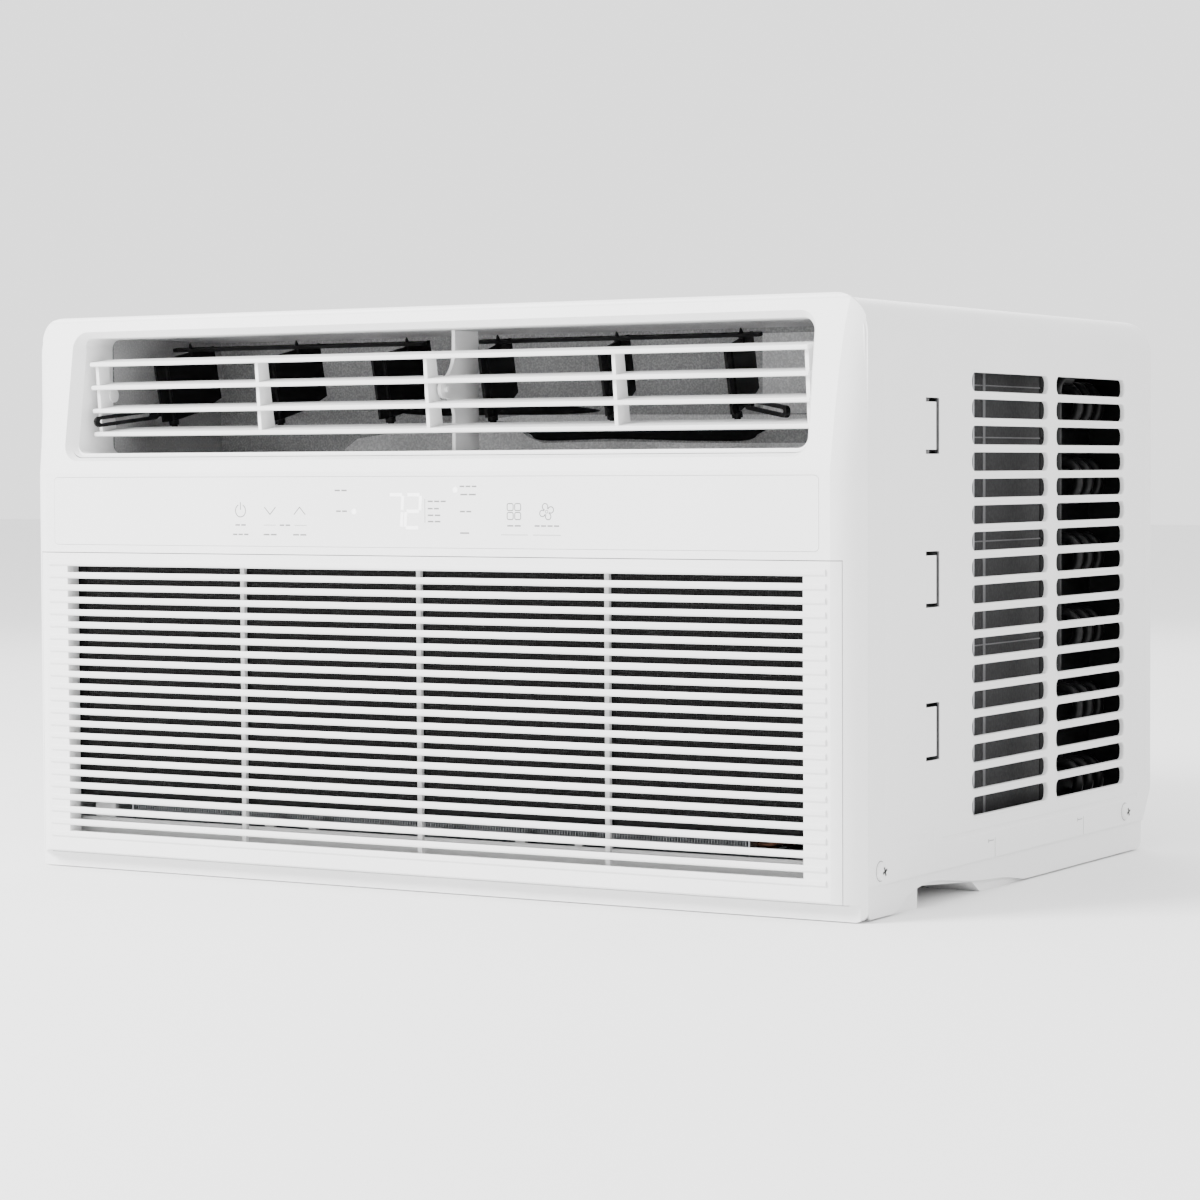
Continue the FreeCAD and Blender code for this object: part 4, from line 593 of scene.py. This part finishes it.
def baffle_highlight_strips():
    """Flat strips on the sound-deadening plates: pale ones as painted highlight for an upright stiffener and
    faint folds, and a black one as painted shade at their rear edge.
    """
    highlight_strips = Shape()
    edges = Shape()
    for side in (-1, 1):
        highlight_strips.box(sorted((side * BAFFLE_X, side * (BAFFLE_X + 0.4))), BAFFLE_HIGHLIGHT_Y, BAFFLE_Z)
        plate = sorted((side * BAFFLE_X, side * (BAFFLE_X + 0.5)))
        for z in BAFFLE_FOLD_HIGHLIGHTS_Z:
            highlight_strips.box(plate, BAFFLE_FOLD_HIGHLIGHT_Y, (z, z + 0.8))
        edges.box(plate, BAFFLE_EDGE_SHADE_Y, BAFFLE_Z)
    add_piece("baffle_highlight_strips", highlight_strips, "baffle_grey", "rib_grey")
    add_piece("baffle_edge_shade", edges, "baffle_grey", "vane_black")


# ---------------------------------------------------------------- blower's mouth, in painted shade and painted light
def blower_mouth_shade():
    """Black shapes on the back wall of the duct as painted shade where the blower's mouth opens, with the
    shelf, tongue and a flat panel in front of it in the lightest copy of the foam as painted light.
    """
    mouth = Shape()
    for points in (MOUTH_UPPER, MOUTH_HOLLOW):
        mouth.prism([(x, DUCT_BACK_Y, z) for x, z in smooth_outline(points)], (0, -0.6, 0))
    add_piece("blower_mouth_shade", mouth, "duct_foam", "vane_black")
    shelf = Shape()
    for points, depth in ((MOUTH_SHELF, 3.0), (MOUTH_TONGUE, 1.0)):
        shelf.prism([(x, DUCT_BACK_Y - 0.7, z) for x, z in points], (0, -depth, 0))
    # flat panel beside the mouth in the lightest foam: painted light on the right of the back wall
    shelf.box((156.0, 261.5), (DUCT_BACK_Y - 0.6, DUCT_BACK_Y), (292.0, 342.0))
    add_piece("mouth_shelf_lit", shelf, "duct_foam", "duct_light")


# ---------------------------------------------------------------- marks on the control strip
class Marks:
    """Printed marks: thin raised shapes on the face of the strip."""

    def __init__(self):
        self.shape = Shape()

    def area(self, outline):
        self.shape.prism([(x, STRIP_FRONT_Y - MARK_PROUD, z) for x, z in outline], (0, MARK_PROUD * 0.9, 0))

    def line(self, start, end, width):
        dx, dz = end[0] - start[0], end[1] - start[1]
        length = math.hypot(dx, dz)
        nx, nz = -dz / length * width / 2, dx / length * width / 2
        self.area([(start[0] + nx, start[1] + nz), (end[0] + nx, end[1] + nz),
                   (end[0] - nx, end[1] - nz), (start[0] - nx, start[1] - nz)])

    def path(self, points, width):
        for start, end in zip(points, points[1:]):
            self.line(start, end, width)

    def arc(self, centre, radius, start, end, width, steps=24):
        points = []
        for k in range(steps + 1):
            angle = math.radians(start + (end - start) * k / steps)
            points.append((centre[0] + radius * math.cos(angle), centre[1] + radius * math.sin(angle)))
        self.path(points, width)

    def rounded_square(self, centre, half, radius, width):
        x, z = centre
        inner = half - radius
        for sx, sz, start in ((1, 1, 0), (-1, 1, 90), (-1, -1, 180), (1, -1, 270)):
            self.arc((x + sx * inner, z + sz * inner), radius, start, start + 90, width, 6)
        for sign in (1, -1):
            self.line((x + sign * half, z - inner), (x + sign * half, z + inner), width)
        for sign in (1, -1):
            self.line((x - inner, z + sign * half), (x + inner, z + sign * half), width)

    def add(self, name, material):
        add_piece(name, self.shape, "overlay_film", material)


def touch_symbols():
    """Power, down and up arrows, mode squares, fan blades and thin rules."""
    marks = Marks()
    marks.arc((POWER_X, TOUCH_Z), 3.9, 115, 425, STROKE)
    marks.line((POWER_X, TOUCH_Z + 0.6), (POWER_X, TOUCH_Z + 5.4), STROKE)
    for x, sign in zip(ARROWS_X, (-1, 1)):
        low = TOUCH_Z - sign * 2.3
        marks.path([(x - 4.3, low), (x, TOUCH_Z + sign * 2.3), (x + 4.3, low)], STROKE)
    for dx in (-1, 1):
        for dz in (-1, 1):
            marks.rounded_square((MODE_X + dx * 2.65, TOUCH_Z + dz * 2.65), 2.1, 1.0, STROKE)
    for blade in (20, 110, 200, 290):
        angle = math.radians(blade)
        centre = (FAN_X + 3.1 * math.cos(angle), TOUCH_Z + 3.1 * math.sin(angle))
        marks.arc(centre, 1.9, blade - 150, blade + 150, STROKE, 16)
    marks.arc((FAN_X, TOUCH_Z), 0.9, 0, 360, 0.35, 12)
    for left, right, z in RULES:
        marks.line((left, z), (right, z), HAIRLINE)
    marks.line((10.9, 240.4), (10.9, 225.9), 0.3)
    marks.add("touch_symbols", "mark_grey")


def touch_dashes():
    """Rows of plain dashes beside and under the symbols."""
    marks = Marks()
    for x, length, z in DASH_ROWS:
        count = max(int(length / DASH_PITCH), 1)
        step = (length + DASH_GAP) / count
        for k in range(count):
            left = x - length / 2 + step * k
            marks.line((left, z), (left + step - DASH_GAP, z), DASH_W)
    marks.add("touch_dashes", "mark_pale")


def display_light():
    """Seven-segment digits and two lamps that shine white through the strip."""
    lit = Marks()
    low, middle, top = DIGIT_Z
    for left, bars in DIGITS:
        right = left + DIGIT_W
        lines = {"a": ((left, top), (right, top)), "b": ((right, top), (right, middle)),
                 "c": ((right, middle), (right, low)), "d": ((left, low), (right, low)),
                 "e": ((left, low), (left, middle)), "g": ((left, middle), (right, middle))}
        for bar in bars:
            (ax, az), (bx, bz) = lines[bar]
            length = math.hypot(bx - ax, bz - az)
            ux, uz = (bx - ax) / length, (bz - az) / length
            start = (ax + ux * SEGMENT_GAP + SLANT * (az - middle), az + uz * SEGMENT_GAP)
            end = (bx - ux * SEGMENT_GAP + SLANT * (bz - middle), bz - uz * SEGMENT_GAP)
            lit.line(start, end, SEGMENT_W)
    for place in LAMP_PLACES:
        lit.area(ring_points(place, LAMP_R, 24))
    lit.add("display_light", "display_white")


# ---------------------------------------------------------------- assembly
MATERIALS = build_materials()
add_camera()
add_surroundings()
dress_nodes()
dress_duct()
vent_lips()
fin_packs()
screw_heads()
cut_edges()
flange_ticks()
baffle_highlight_strips()
blower_mouth_shade()
touch_symbols()
touch_dashes()
display_light()
